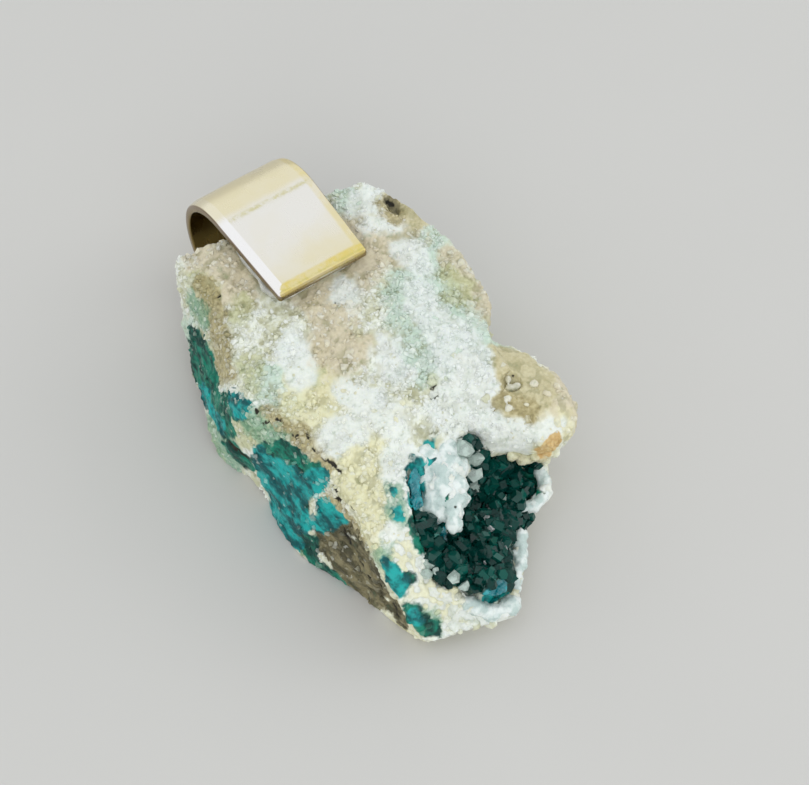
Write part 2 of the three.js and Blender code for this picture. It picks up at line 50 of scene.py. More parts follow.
# ---- the drawing ----
# Everything is drawn in millimetres in the drawing's own axes, in which the strap's middle is at
# STRAP_X and its bend is centred on BEND_Y; in_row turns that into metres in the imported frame.
STRAP_X = 1.05
BEND_Y = 16.1
STRAP_R = 6.75  # outside radius of the bend
STRAP_T = 0.9  # thickness
MM = 0.001
bail_low, bail_high = (np.array(corner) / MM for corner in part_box("bail"))
SHIFT = np.array(
    [(bail_low[0] + bail_high[0]) / 2 - STRAP_X, bail_high[1] - STRAP_R - BEND_Y, 0.0]
)
LEG_END_Y = bail_low[1] - SHIFT[1]
STRAP_WIDTH = bail_high[0] - bail_low[0]


def in_row(points):
    return (np.asarray(points, float) + SHIFT) * MM


def unit(vectors):
    return vectors / np.linalg.norm(vectors, axis=-1, keepdims=True)


def add_object(name, data):
    thing = bpy.data.objects.new(name, data)
    bpy.context.scene.collection.objects.link(thing)
    return thing


# ---- the camera ----
IMAGE_W, IMAGE_H = 809, 785
FOCAL_PX = 2380.0
ELEVATION, AZIMUTH = math.radians(57), math.radians(-34)
CAMERA_DISTANCE = 200.0
CAMERA_TARGET = np.array([2.7, -2.35, 6.0])
SENSOR_MM = 36.0
LEVEL = math.cos(ELEVATION)
BACK = np.array([math.sin(AZIMUTH) * LEVEL, -math.cos(AZIMUTH) * LEVEL, math.sin(ELEVATION)])
RIGHT = np.array([math.cos(AZIMUTH), math.sin(AZIMUTH), 0.0])
UP = np.cross(BACK, RIGHT)
EYE = CAMERA_TARGET + BACK * CAMERA_DISTANCE


def make_camera():
    data = bpy.data.cameras.new("camera")
    data.sensor_fit = "HORIZONTAL"
    data.sensor_width = SENSOR_MM
    data.lens = SENSOR_MM * FOCAL_PX / IMAGE_W
    data.clip_start = MM
    camera = add_object("camera", data)
    turn = Matrix((RIGHT, UP, BACK)).transposed().to_4x4()
    camera.matrix_world = Matrix.Translation(Vector(in_row(EYE))) @ turn
    bpy.context.scene.camera = camera


# ---- noise ----
def scramble(i, j, k, seed):
    """A repeatable number from 0 to 1 for each corner of a grid."""
    n = (i * 73856093) ^ (j * 19349663) ^ (k * 83492791) ^ (seed * 668265263)
    n = ((n ^ (n >> 13)) * 1274126177) & 0xFFFFFFFF
    n = ((n ^ (n >> 15)) * 2246822519) & 0xFFFFFFFF
    return ((n ^ (n >> 16)) & 0xFFFFFF) / 0xFFFFFF


def smooth_noise(points, size, seed):
    """Noise from -1 to 1 whose lumps are about size millimetres wide."""
    p = points / size
    cell = np.floor(p).astype(np.int64)
    t = p - cell
    t = t * t * (3 - 2 * t)
    total = np.zeros(len(p))
    for corner in np.ndindex(2, 2, 2):
        weight = np.ones(len(p))
        for axis in range(3):
            weight *= t[:, axis] if corner[axis] else 1 - t[:, axis]
        total += weight * scramble(*(cell[:, a] + corner[a] for a in range(3)), seed)
    return 2 * total - 1


def layered_noise(points, size, seed, layers=3):
    return sum(smooth_noise(points, size / 2**k, seed + k) / 2**k for k in range(layers))


def noise_vectors(points, size, seed, layers):
    """A noise of its own for each axis."""
    return np.stack([layered_noise(points, size, seed + a, layers) for a in range(3)], 1)


def broken_facets(points, size, seed):
    """Height of a surface broken into tilted facets about size wide, each like a crystal's face."""
    p = points / size
    cell = np.floor(p).astype(np.int64)
    least = np.full(len(p), 9.0)
    height = np.zeros(len(p))
    for step in np.ndindex(3, 3, 3):
        corner = [cell[:, a] + step[a] - 1 for a in range(3)]
        centre = np.stack([corner[a] + scramble(*corner, seed + a) for a in range(3)], 1)
        tilt = np.stack([scramble(*corner, seed + 5 + a) - 0.5 for a in range(3)], 1)
        offset = p - centre
        distance = (offset**2).sum(1)
        mine = 0.9 * (scramble(*corner, seed + 9) - 0.5) + 1.8 * (offset * tilt).sum(1)
        closer = distance < least
        least[closer] = distance[closer]
        height[closer] = mine[closer]
    return height


def ease(x, low=0.0, high=1.0):
    t = np.clip((x - low) / (high - low), 0, 1)
    return t * t * (3 - 2 * t)


# ---- meshes ----
def mesh_arrays(mesh):
    verts = np.empty(len(mesh.vertices) * 3)
    mesh.vertices.foreach_get("co", verts)
    mesh.calc_loop_triangles()
    faces = np.empty(len(mesh.loop_triangles) * 3, np.int32)
    mesh.loop_triangles.foreach_get("vertices", faces)
    return verts.reshape(-1, 3), faces.reshape(-1, 3)


def node_arrays(node):
    verts, faces = mesh_arrays(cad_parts[node].data)
    return verts / MM - SHIFT, faces


def remeshed(verts, faces, voxel, smoothing):
    """The closed surface over verts and faces, as an even net with cells of voxel millimetres."""
    raw = bpy.data.meshes.new("raw")
    raw.from_pydata([tuple(v) for v in verts], [], [tuple(int(i) for i in f) for f in faces])
    thing = add_object("raw", raw)
    remesh = thing.modifiers.new("remesh", "REMESH")
    remesh.mode = "VOXEL"
    remesh.voxel_size = voxel
    smooth = thing.modifiers.new("smooth", "SMOOTH")
    smooth.factor = 0.5
    smooth.iterations = smoothing
    made = thing.evaluated_get(bpy.context.evaluated_depsgraph_get()).to_mesh()
    verts, faces = mesh_arrays(made)
    bpy.data.objects.remove(thing)
    return verts, faces


def vertex_normals(verts, faces):
    a, b, c = (verts[faces[:, k]] for k in range(3))
    across = np.cross(b - a, c - a)
    normals = np.zeros_like(verts)
    for k in range(3):
        np.add.at(normals, faces[:, k], across)
    return normals / np.maximum(np.linalg.norm(normals, axis=1, keepdims=True), 1e-12)


def piece(name, verts, faces, material, layers=None, nodes=(), smooth=False):
    """A piece of the object from millimetre arrays, riding on the pendant's one body."""
    mesh = bpy.data.meshes.new(name)
    mesh.vertices.add(len(verts))
    mesh.vertices.foreach_set("co", in_row(verts).astype(np.float32).ravel())
    mesh.loops.add(len(faces) * 3)
    mesh.loops.foreach_set("vertex_index", np.asarray(faces, np.int32).ravel())
    mesh.polygons.add(len(faces))
    mesh.polygons.foreach_set("loop_start", np.arange(0, len(faces) * 3, 3, dtype=np.int32))
    mesh.update(calc_edges=True)
    mesh.validate()
    mesh.polygons.foreach_set("use_smooth", np.full(len(mesh.polygons), smooth))
    for label, values in (layers or {}).items():
        layer = mesh.attributes.new(label, "FLOAT", "POINT")
        layer.data.foreach_set("value", np.asarray(values, np.float32))
    mesh.materials.append(material)
    thing = add_object(name, mesh)
    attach(thing, "root")
    if nodes:
        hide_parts(*nodes)


def rotations(axes, spins):
    """Turns +Z on to each axis, after a spin about +Z."""
    z = unit(axes)
    helper = np.where(np.abs(z[:, 2:3]) < 0.9, [[0.0, 0.0, 1.0]], [[1.0, 0.0, 0.0]])
    x = unit(np.cross(helper, z))
    y = np.cross(z, x)
    c, s = np.cos(spins)[:, None], np.sin(spins)[:, None]
    return np.stack([x * c + y * s, y * c - x * s, z], 2)


def scattered(shapes, places, axes, sizes):
    """Copies of the shapes, in turn, at the places: vertices, faces and each vertex's place."""
    turns = rotations(axes, rng.uniform(0, 2 * math.pi, len(places)))
    all_verts, all_faces, owners, count = [], [], [], 0
    for k, (verts, faces) in enumerate(shapes):
        mine = np.arange(k, len(places), len(shapes))
        scaled = verts[None] * sizes[mine][:, None, :]
        made = np.einsum("nij,nvj->nvi", turns[mine], scaled) + places[mine][:, None, :]
        all_verts.append(made.reshape(-1, 3))
        starts = count + np.arange(len(mine)) * len(verts)
        all_faces.append((faces[None] + starts[:, None, None]).reshape(-1, 3))
        owners.append(np.repeat(mine, len(verts)))
        count += len(mine) * len(verts)
    return tuple(join(parts) for parts in (all_verts, all_faces, owners))


def shape_of(made):
    """The vertex and face arrays of a bmesh, which is then let go."""
    made.verts.index_update()
    verts = np.array([v.co[:] for v in made.verts])
    faces = np.array([[v.index for v in f.verts] for f in made.faces])
    made.free()
    return verts, faces


def lump_shapes(count, corners):
    """Small convex broken grains, about one unit in radius."""
    shapes = []
    for _ in range(count):
        points = unit(rng.normal(size=(corners, 3))) * rng.uniform(0.75, 1.0, (corners, 1))
        made = bmesh.new()
        for p in points:
            made.verts.new(p)
        bmesh.ops.convex_hull(made, input=made.verts)
        loose = [v for v in made.verts if not v.link_faces]
        bmesh.ops.delete(made, geom=loose, context="VERTS")
        bmesh.ops.triangulate(made, faces=made.faces)
        bmesh.ops.recalc_face_normals(made, faces=made.faces)
        shapes.append(shape_of(made))
    return shapes


def crystal_shape(point):
    """A six-sided prism one unit in radius and in length, under a three-faced point."""
    angles = np.arange(6) * math.pi / 3
    ring = np.stack([np.cos(angles), np.sin(angles), np.zeros(6)], 1)
    shoulder = ring.copy()
    shoulder[:, 2] = np.where(np.arange(6) % 2, 1 - point, 1 - point / 2)
    verts = join([ring, shoulder, [[0, 0, 0], [0, 0, 1.0]]])
    faces = []
    for i in range(6):
        j = (i + 1) % 6
        faces += [[i, j, 6 + j], [i, 6 + j, 6 + i], [12, j, i], [13, 6 + i, 6 + j]]
    return verts, np.array(faces)


def surface_points(verts, faces, weights, count):
    """Random points on a surface, denser where the weights are higher, each with the index of a
    vertex beside it."""
    a, b, c = (verts[faces[:, k]] for k in range(3))
    area = np.linalg.norm(np.cross(b - a, c - a), axis=1) / 2
    chance = area * weights[faces].mean(1)
    chosen = rng.choice(len(faces), count, p=chance / chance.sum())
    u, v = rng.random(count), rng.random(count)
    flip = u + v > 1
    u[flip], v[flip] = 1 - u[flip], 1 - v[flip]
    places = a[chosen] + u[:, None] * (b - a)[chosen] + v[:, None] * (c - a)[chosen]
    return places, faces[chosen, rng.integers(0, 3, count)]


def nearest(places, points):
    """For each point, the index of the nearest place and how far it is."""
    net = KDTree(len(places))
    for i, place in enumerate(places):
        net.insert(place, i)
    net.balance()
    found = [net.find(p)[1:] for p in points]
    return tuple(np.array(values) for values in zip(*found))


def distance_to_line(points, line):
    """Distance of each point from a line of points, in any number of dimensions."""
    line = [np.asarray(p, float) for p in line]
    best = np.linalg.norm(points - line[0], axis=1)
    for a, b in zip(line, line[1:]):
        t = np.clip((points - a) @ (b - a) / max((b - a) @ (b - a), 1e-9), 0, 1)
        best = np.minimum(best, np.linalg.norm(points - a - t[:, None] * (b - a), axis=1))
    return best


# ---- the plain stone and crust ----
# The size of a net's cells, and how many times it is smoothed.
STONE_NET, CRUST_NET = (0.22, 5), (0.2, 1)
rock_verts, rock_faces = remeshed(*node_arrays("rock"), *STONE_NET)
crust_verts, crust_faces = remeshed(*node_arrays("dioptase_crust"), *CRUST_NET)
rock_tree = BVHTree.FromPolygons(rock_verts.tolist(), rock_faces.tolist())
picture_tree = BVHTree.FromPolygons(
    join([rock_verts, crust_verts]).tolist(),
    join([rock_faces, crust_faces + len(rock_verts)]).tolist(),
)


def seen(px, py):
    """The point and the normal of the surface that shows at a pixel of the picture."""
    way = RIGHT * (px - IMAGE_W / 2) / FOCAL_PX + UP * (IMAGE_H / 2 - py) / FOCAL_PX - BACK
    return picture_tree.ray_cast(Vector(EYE), Vector(unit(way)))[:2]


# ---- markings ----
# Each marking is a list of shapes drawn over the picture, in its pixels, and laid on the surface
# that is seen there. A shape is the half width of its brush, then x and y of each point of its
# line. A width of 0 fills the area that the points go round.
WHITE = [
    (5, 478, 436, 500, 446, 520, 450), (9, 362, 203, 378, 199), (9, 345, 291),
    (9, 292, 352, 300, 378), (9, 420, 296, 436, 330), (7, 408, 250, 418, 268),
    (20, 455, 345, 470, 385, 450, 410), (10, 468, 350, 488, 372, 484, 400), (7, 386, 345, 400, 372),
    (12, 372, 405, 392, 424), (10, 330, 440, 352, 428), (8, 346, 395, 368, 400),
    (9, 480, 420, 520, 430, 548, 428), (3, 541, 478, 546, 490, 538, 504),
    (15, 405, 540, 420, 590, 450, 620, 490, 622), (9, 400, 455, 396, 480, 402, 500),
    (14, 428, 470, 440, 490, 448, 520), (7, 455, 450, 458, 480, 462, 500), (4, 235, 461),
    (4, 251, 457), (3, 276, 452), (3, 294, 457), (2, 372, 226, 395, 224),
]
BEIGE = [
    (7, 552, 384, 568, 400, 574, 416), (8, 540, 402, 556, 416), (6, 456, 254, 474, 280, 488, 306),
    (8, 352, 232, 372, 246, 392, 250, 402, 232, 398, 216), (11, 316, 296, 330, 318, 328, 348),
    (10, 335, 335, 350, 352), (8, 366, 262, 352, 278), (8, 318, 372, 338, 392),
    (9, 205, 262, 232, 268, 240, 290),
]
TAN = [
    (0, 493, 346, 520, 352, 552, 376, 548, 402, 534, 415, 508, 412, 504, 388),
    (5, 404, 210, 418, 222),
]
YELLOW = [
    (4, 508, 449, 524, 454, 540, 452), (11, 302, 390, 330, 398, 352, 416), (8, 296, 410, 322, 424),
    (11, 350, 470, 366, 500, 380, 535, 392, 562), (9, 350, 455, 372, 480),
    (6, 425, 592, 446, 604, 440, 585), (6, 540, 424, 562, 430), (7, 388, 420, 384, 440),
    (5, 392, 605, 410, 636),
]
OLIVE = [
    (3, 250, 362, 252, 388), (5, 450, 276, 462, 288, 456, 296), (5, 440, 388, 447, 397),
    (6, 452, 408, 458, 424), (4, 196, 282, 208, 296), (4, 300, 372, 312, 380),
    (3, 244, 302, 240, 314), (7, 240, 430, 254, 436),
]
KHAKI = [
    (7, 204, 288, 214, 312, 220, 340, 224, 372), (6, 216, 318, 220, 350),
    (4, 268, 414, 290, 430, 312, 448, 328, 466), (3, 330, 500, 346, 516, 360, 540),
    (4, 504, 402, 514, 402, 530, 410), (6, 387, 205, 395, 215), (3, 356, 252, 340, 262),
]
BROWN = [
    (9, 336, 526, 352, 546, 366, 570, 382, 596), (7, 326, 540, 348, 570, 372, 598),
    (3, 392, 600, 402, 622), (3, 389, 204, 393, 212),
]
DARK = [
    (1.6, 388, 202, 392, 205), (0.9, 219, 296), (0.7, 256, 410, 259, 414),
    (0.7, 262, 424, 270, 421), (0.7, 276, 419, 283, 421), (0.6, 292, 434, 298, 438),
    (0.6, 307, 433, 312, 447, 320, 453), (0.8, 322, 457, 332, 462, 341, 471),
    (0.8, 334, 487, 337, 492), (0.9, 336, 499, 342, 503), (0.7, 352, 507, 355, 512),
    (1, 367, 575, 380, 583, 386, 596), (1, 392, 602, 399, 616), (0.7, 345, 530, 350, 545),
    (0.7, 356, 556, 364, 566), (1, 407, 640), (0.7, 434, 384, 433, 389), (0.6, 430, 398, 438, 396),
    (0.8, 512, 377), (0.7, 335, 303), (1, 227, 441, 240, 452, 252, 463), (0.8, 444, 508, 447, 514),
    (0.7, 455, 507),
]
STAIN = [
    (5, 212, 424, 222, 446, 236, 460), (4, 194, 302, 202, 316), (6, 256, 428, 276, 444),
    (4, 244, 418, 250, 424), (3, 392, 494), (3, 398, 512), (2, 426, 616, 430, 626),
    (3, 380, 560, 384, 556),
]
TURQUOISE = [
    (4, 200, 388, 208, 405, 220, 425), (6, 236, 404, 240, 412), (8, 262, 458, 278, 500, 292, 540),
    (9, 278, 470, 300, 490, 318, 480), (10, 285, 500, 300, 520), (6, 326, 508, 336, 520, 320, 524),
    (0, 385, 562, 396, 572, 405, 582, 400, 594, 390, 580), (3, 388, 568, 400, 584),
    (6, 417, 467, 415, 485, 416, 500), (2.4, 422, 503, 438, 512), (1.4, 431, 443, 431, 462),
    (1, 391, 493), (1, 398, 515, 397, 510), (2.6, 440, 524, 442, 538), (5, 490, 598, 500, 590),
    (2, 413, 614, 418, 621),
]
TEAL = [
    (6, 190, 345, 197, 370, 204, 395), (8, 196, 342, 203, 362, 209, 386, 218, 412),
    (7, 214, 400, 234, 410), (5, 216, 408, 228, 430), (6, 274, 448, 294, 458, 310, 468),
    (3.5, 294, 474, 303, 516), (3, 326, 518, 330, 510), (8, 298, 530, 308, 546),
    (4, 312, 556, 340, 584, 376, 614), (5, 412, 614, 420, 623, 427, 630), (5, 232, 448, 248, 462),
    (4, 428, 508, 440, 504), (6, 418, 522, 424, 545), (2, 398, 588, 406, 580),
    (4, 529, 474, 533, 492), (4, 520, 516, 531, 521),
]
PALE_GREEN = [
    (7, 258, 428, 272, 442), (16, 424, 232, 440, 262, 456, 300, 462, 330),
    (10, 404, 290, 420, 330, 430, 366), (7, 268, 380, 282, 400), (5, 344, 192, 350, 200),
    (4, 188, 330, 186, 352), (7, 478, 334, 490, 346),
]
ORANGE = [(4, 543, 453, 549, 446, 553, 440)]
# Markings on the sides that the picture doesn't show: a half width, then x, y and z of each
# point of a line in the drawing, all in millimetres.
HIDDEN = {
    "turquoise": [
        (1.5, 11.4, 4, 3, 11.2, 7, 6, 10.6, 9.5, 7.5), (1.6, -4, 4, 0, 0, 1, 0, 3, -3, 0),
        (1.8, -10, -3, 0, -7, -6, 0), (1.2, 4, 14.6, 5, 7, 14.4, 4),
    ],
    "teal": [
        (1.4, 11.4, 2, 2, 11.4, 5, 4), (1.2, -8, 8, 1, -5, 5, 0, -1, 3, 0),
        (1.5, 2, -10, 0, 5, -7, 0),
    ],
    "brown": [
        (1.3, 9.8, -3, 3, 10.2, -6, 4, 10, -9, 3), (1.6, -2, -16, 0, 1, -12, 0, 6, -1, 0),
        (1.3, 10.4, 11, 5, 8.8, 13.6, 6),
    ],
    "olive": [
        (1.4, 11.6, 0, 5, 11.8, 3, 8.5), (1.2, -6, 15.8, 6, -2, 15.8, 8), (2, 4, 5, 0, 7, 9, 1.7),
    ],
}
# For each marking, in the order of painting: its shapes, the width of its soft edge and how far
# that edge wanders, in millimetres, its light and deep colours, which its own noise mixes, how
# ragged the shader leaves its edge, and how much it covers.
PALE_MARKS = {
    "pale_green": (PALE_GREEN, 2.2, 0.7, (208, 228, 214), (182, 204, 186), 0.7, 0.85),
    "beige": (BEIGE, 2.4, 0.7, (220, 208, 180), (192, 178, 146), 0.7, 0.85),
    "yellow": (YELLOW, 2.2, 0.7, (238, 236, 200), (218, 210, 160), 0.7, 0.85),
    "olive": (OLIVE, 1.4, 0.4, (208, 210, 168), (172, 174, 122), 0.7, 0.75),
    "white": (WHITE, 1.4, 0.5, (240, 243, 238), (224, 231, 224), 0.45, 0.9),
    "tan": (TAN, 0.8, 0.25, (212, 204, 168), (188, 178, 138), 0.4, 1),
    "khaki": (KHAKI, 1, 0.4, (196, 184, 138), (136, 122, 78), 0.6, 0.9),
}
DEEP_MARKS = {
    "orange": (ORANGE, 0.7, 0.25, (226, 200, 142), (194, 150, 84), 0.5, 0.95),
    "brown": (BROWN, 0.9, 0.4, (136, 128, 96), (76, 72, 50), 0.5, 1),
    "stain": (STAIN, 1.4, 0.5, (150, 186, 152), (84, 140, 112), 0.7, 0.8),
    "teal": (TEAL, 1, 0.4, (12, 128, 104), (0, 60, 52), 0.5, 1),
    "turquoise": (TURQUOISE, 0.8, 0.35, (24, 170, 166), (0, 82, 84), 0.5, 1),
    "dark": (DARK, 0.17, 0.08, (60, 54, 38), (24, 24, 18), 0.4, 1),
}
MARKINGS = PALE_MARKS | DEEP_MARKS
SOFT_MARKS = (*PALE_MARKS, "stain")
STREAKY_MARKS = ("turquoise", "teal", "brown")
BRUSH_STEP = 1.5  # pixels between the points laid down by a brush
MARK_REACH = 0.05  # how far round each such point is covered whole, in millimetres
WANDER_SIZE = 1.1  # width of the noise that an edge wanders by
HIDDEN_WANDER, HIDDEN_WANDER_SIZE = 1.6, 3.0  # the same for the hidden markings


def inside_area(points, outline):
    x, y = points.T
    inside = np.zeros(len(points), bool)
    for (ax, ay), (bx, by) in zip(outline, np.roll(outline, -1, axis=0)):
        crosses = (ay > y) != (by > y)
        with np.errstate(divide="ignore", invalid="ignore"):
            inside ^= crosses & (x < (bx - ax) * (y - ay) / (by - ay) + ax)
    return inside


def brushed(width, *line):
    """The pixels that a shape covers, BRUSH_STEP apart."""
    line = np.reshape(line, (-1, 2))
    low = np.min(line, axis=0) - width - 1
    high = np.max(line, axis=0) + width + 1
    grid = np.meshgrid(*(np.arange(low[k], high[k], BRUSH_STEP) for k in range(2)))
    points = np.stack([g.ravel() for g in grid], 1)
    if not width:
        return points[inside_area(points, line)]
    return points[distance_to_line(points, line) <= width]


def laid(verts, hidden, shapes, softness, wander):
    """How strongly a marking covers each vertex: 1 in its shapes, and 0 from softness outside."""
    verts = verts + wander * noise_vectors(verts, WANDER_SIZE, 31, 2)
    hits = [seen(*pixel)[0] for shape in shapes for pixel in brushed(*shape)]
    distance = nearest([hit for hit in hits if hit is not None], verts)[1]
    cover = 1 - ease(distance, MARK_REACH, MARK_REACH + softness)
    strayed = verts + HIDDEN_WANDER * noise_vectors(verts, HIDDEN_WANDER_SIZE, 34, 3)
    for width, *line in hidden:
        away = distance_to_line(strayed, np.reshape(line, (-1, 3)))
        cover = np.maximum(cover, 1 - ease(away, 0.5 * width, 1.4 * width))
    return cover


def masks_on(verts, names=tuple(MARKINGS)):
    return {n: laid(verts, HIDDEN.get(n, []), *MARKINGS[n][:3]) for n in names}


# ---- materials ----
def colour(red, green, blue):
    """A colour as a screen shows it, 0 to 255, as the shaders want it."""
    channels = np.array([red, green, blue]) / 255
    linear = np.where(channels <= 0.04045, channels / 12.92, ((channels + 0.055) / 1.055) ** 2.4)
    return (*(float(c) for c in linear), 1.0)


class Finish:
    """A material and the nodes that it is made of. Sizes are in millimetres."""

    def __init__(self, name):
        self.material = bpy.data.materials.new(name)
        self.material.use_nodes = True
        self.tree = self.material.node_tree
        self.tree.nodes.clear()
        self.place = self.add("ShaderNodeTexCoord").outputs["Object"]

    def add(self, kind, inputs=None, **settings):
        node = self.tree.nodes.new(kind)
        for key, value in settings.items():
            setattr(node, key, value)
        for key, value in (inputs or {}).items():
            if isinstance(value, bpy.types.NodeSocket):
                self.tree.links.new(value, node.inputs[key])
            else:
                node.inputs[key].default_value = value
        return node

    def stretched(self, x, y, z):
        """The place, shrunk along each axis, so that what is drawn on it is that much longer."""
        scale = (1 / x, 1 / y, 1 / z)
        return self.add("ShaderNodeMapping", {"Vector": self.place, "Scale": scale}).outputs[0]

    def noise(self, size, detail=3, place=None):
        inputs = {"Vector": place or self.place, "Scale": 1 / (size * MM), "Detail": detail}
        return self.add("ShaderNodeTexNoise", inputs).outputs["Fac"]

    def cells(self, size, output="Distance"):
        inputs = {"Vector": self.place, "Scale": 1 / (size * MM)}
        return self.add("ShaderNodeTexVoronoi", inputs).outputs[output]

    def mask(self, name):
        return self.add("ShaderNodeAttribute", attribute_name=name).outputs["Fac"]

    def sum(self, a, b, scale=1.0):
        """a + scale * b"""
        inputs = {0: b, 1: scale, 2: a}
        return self.add("ShaderNodeMath", inputs, operation="MULTIPLY_ADD").outputs[0]

    def times(self, a, b):
        return self.add("ShaderNodeMath", {0: a, 1: b}, operation="MULTIPLY").outputs[0]

    def between(self, value, low, high, to_low=0.0, to_high=1.0, kind="SMOOTHSTEP"):
        inputs = {"Value": value, "From Min": low, "From Max": high}
        inputs |= {"To Min": to_low, "To Max": to_high}
        return self.add("ShaderNodeMapRange", inputs, interpolation_type=kind).outputs[0]

    def spread(self, value):
        """A noise spread out to use the whole of 0 to 1."""
        return self.between(value, 0.32, 0.68, kind="LINEAR")

    def blend(self, share, a, b):
        """A mix of two tones, each a socket, a colour from 0 to 255, or a linear one with alpha."""
        a, b = (colour(*t) if isinstance(t, tuple) and len(t) == 3 else t for t in (a, b))
        return self.add("ShaderNodeMix", {0: share, 6: a, 7: b}, data_type="RGBA").outputs[2]

    def bump(self, height, depth):
        inputs = {"Height": height, "Distance": depth * MM, "Strength": 1.0}
        return self.add("ShaderNodeBump", inputs).outputs[0]

    def surface(self, volume=None, **inputs):
        named = {key.replace("_", " "): value for key, value in inputs.items()}
        shader = self.add("ShaderNodeBsdfPrincipled", named)
        out = self.add("ShaderNodeOutputMaterial", {"Surface": shader.outputs[0]})
        if volume:
            clear, density = volume
            absorb = self.add("ShaderNodeVolumeAbsorption", {"Color": clear, "Density": density})
            self.tree.links.new(absorb.outputs[0], out.inputs["Volume"])
        return self.material


def stone_finish(name, grains=False):
    f = Finish(name)
    coarse, middle, fine = (f.spread(f.noise(size)) for size in (2.4, 0.9, 0.3))
    patches = f.spread(f.noise(1.5, place=f.stretched(1, 1.8, 1)))
    streaks = f.spread(f.noise(0.4, place=f.stretched(1, 3.2, 1)))
    speckle = f.add("ShaderNodeSeparateColor", {0: f.cells(0.6, "Color")}).outputs[0]
    frosty = f.between(f.sum(f.sum(coarse, middle, 1.2), speckle, 0.4), 0.75, 1.75)
    tone = f.blend(frosty, (202, 202, 172), (240, 243, 230))
    if grains:
        tone = f.blend(f.between(f.mask("tint"), 0.2, 1.1), tone, (240, 243, 234))
    wander = f.sum(f.sum(-0.5, middle, 0.7), fine, 0.3)

    def marked(tone, marks):
        for mark, (*_, light, deep, ragged, strength) in marks.items():
            soft = 0.42 if mark in SOFT_MARKS else 0.22
            edge = f.sum(f.mask(mark), wander, ragged)
            cover = f.between(edge, 0.5 - soft, 0.5 + soft, 0, strength)
            if grains:
                least = 0.6 if mark in SOFT_MARKS else 0.7
                cover = f.times(cover, f.between(f.mask("tint"), 0.2, 1, 1, least))
            if mark in STREAKY_MARKS:
                own = f.between(f.sum(f.sum(patches, middle, 0.6), streaks, 0.45), 0.6, 1.45)
            else:
                own = f.sum(-0.2, f.sum(fine, middle, 0.9), 0.7)
            tone = f.blend(cover, tone, f.blend(own, light, deep))
        return tone

    tone = marked(tone, PALE_MARKS)
    if not grains:
        # Painted shade: the low spots between the broken facets are darkened towards olive, less
        # where the stone is white.
        recess_shade = f.between(f.mask("relief"), 0, 0.5, 0.5, 0)
        recess_shade = f.times(recess_shade, f.between(f.mask("white"), 0, 1, 1, 0.3))
        tone = f.blend(recess_shade, tone, (156, 152, 112))
    tone = marked(tone, DEEP_MARKS)
    return f.surface(
        Base_Color=tone,
        Roughness=f.between(middle, 0.1, 0.9, 0.34, 0.62),
        Specular_IOR_Level=0.3,
        IOR=1.54,
        Normal=f.bump(f.sum(f.cells(0.45), fine, 0.5), 0.03 if grains else 0.05),
        Subsurface_Weight=0.3,
        Subsurface_Radius=(1, 1, 0.8),
        Subsurface_Scale=0.5 * MM,
    )


def white_quartz_finish():
    f = Finish("white_quartz")
    middle, fine = f.noise(0.9), f.noise(0.3)
    tone = f.blend(f.between(middle, 0.4, 0.62), (190, 207, 202), (230, 237, 233))
    # Painted shade: the dark marks paint the growths' pits dark, where the mesh has no pits.
    tone = f.blend(f.between(f.mask("dark"), 0.3, 0.6), tone, (52, 60, 50))
    return f.surface(
        Base_Color=tone,
        Roughness=f.between(fine, 0.3, 0.7, 0.18, 0.4),
        IOR=1.54,
        Normal=f.bump(f.sum(fine, f.cells(0.4), 0.5), 0.04),
        Subsurface_Weight=0.2,
        Subsurface_Radius=(1, 1, 0.9),
        Subsurface_Scale=0.6 * MM,
    )


def dioptase_bed_finish():
    f = Finish("dioptase_bed")
    middle, fine = f.noise(1.1), f.noise(0.35)
    tone = f.blend(f.between(middle, 0.4, 0.66), (4, 70, 62), (20, 120, 106))
    tone = f.blend(f.between(f.mask("white"), 0.4, 0.8), tone, (214, 222, 214))
    blue = f.blend(f.between(middle, 0.4, 0.6), (20, 158, 166), (0, 112, 122))
    tone = f.blend(f.between(f.mask("turquoise"), 0.3, 0.7), tone, blue)
    return f.surface(
        Base_Color=tone,
        Roughness=f.between(fine, 0.3, 0.7, 0.12, 0.34),
        IOR=1.66,
        Normal=f.bump(f.sum(fine, f.cells(0.5), 0.6), 0.05),
    )


FLAW_SHADE = 0.7  # how dark the flaws in a crystal are beside the rest of it


def clear_finish(name, clear, density, ior, rough, tone, body, shine=0.5, pale=None):
    """A see-through crystal or resin, with its colour in its depth. body is the share of light
    that flaws inside it send back, and pale is the tone of its lightest crystals."""
    f = Finish(name)
    flaws = f.noise(0.5, detail=4)
    tone = colour(*tone)
    dull = (*(FLAW_SHADE * c for c in tone[:3]), 1.0)
    tone = f.blend(f.between(flaws, 0.4, 0.62), tone, dull)
    if pale:
        tone = f.blend(f.mask("tint"), tone, pale)
    return f.surface(
        volume=((*clear, 1.0), density),
        Base_Color=tone,
        Transmission_Weight=1 - body,
        IOR=ior,
        Specular_IOR_Level=shine,
        Roughness=f.between(flaws, 0.45, 0.7, rough, rough + 0.16),
        Normal=f.bump(flaws, 0.02),
    )


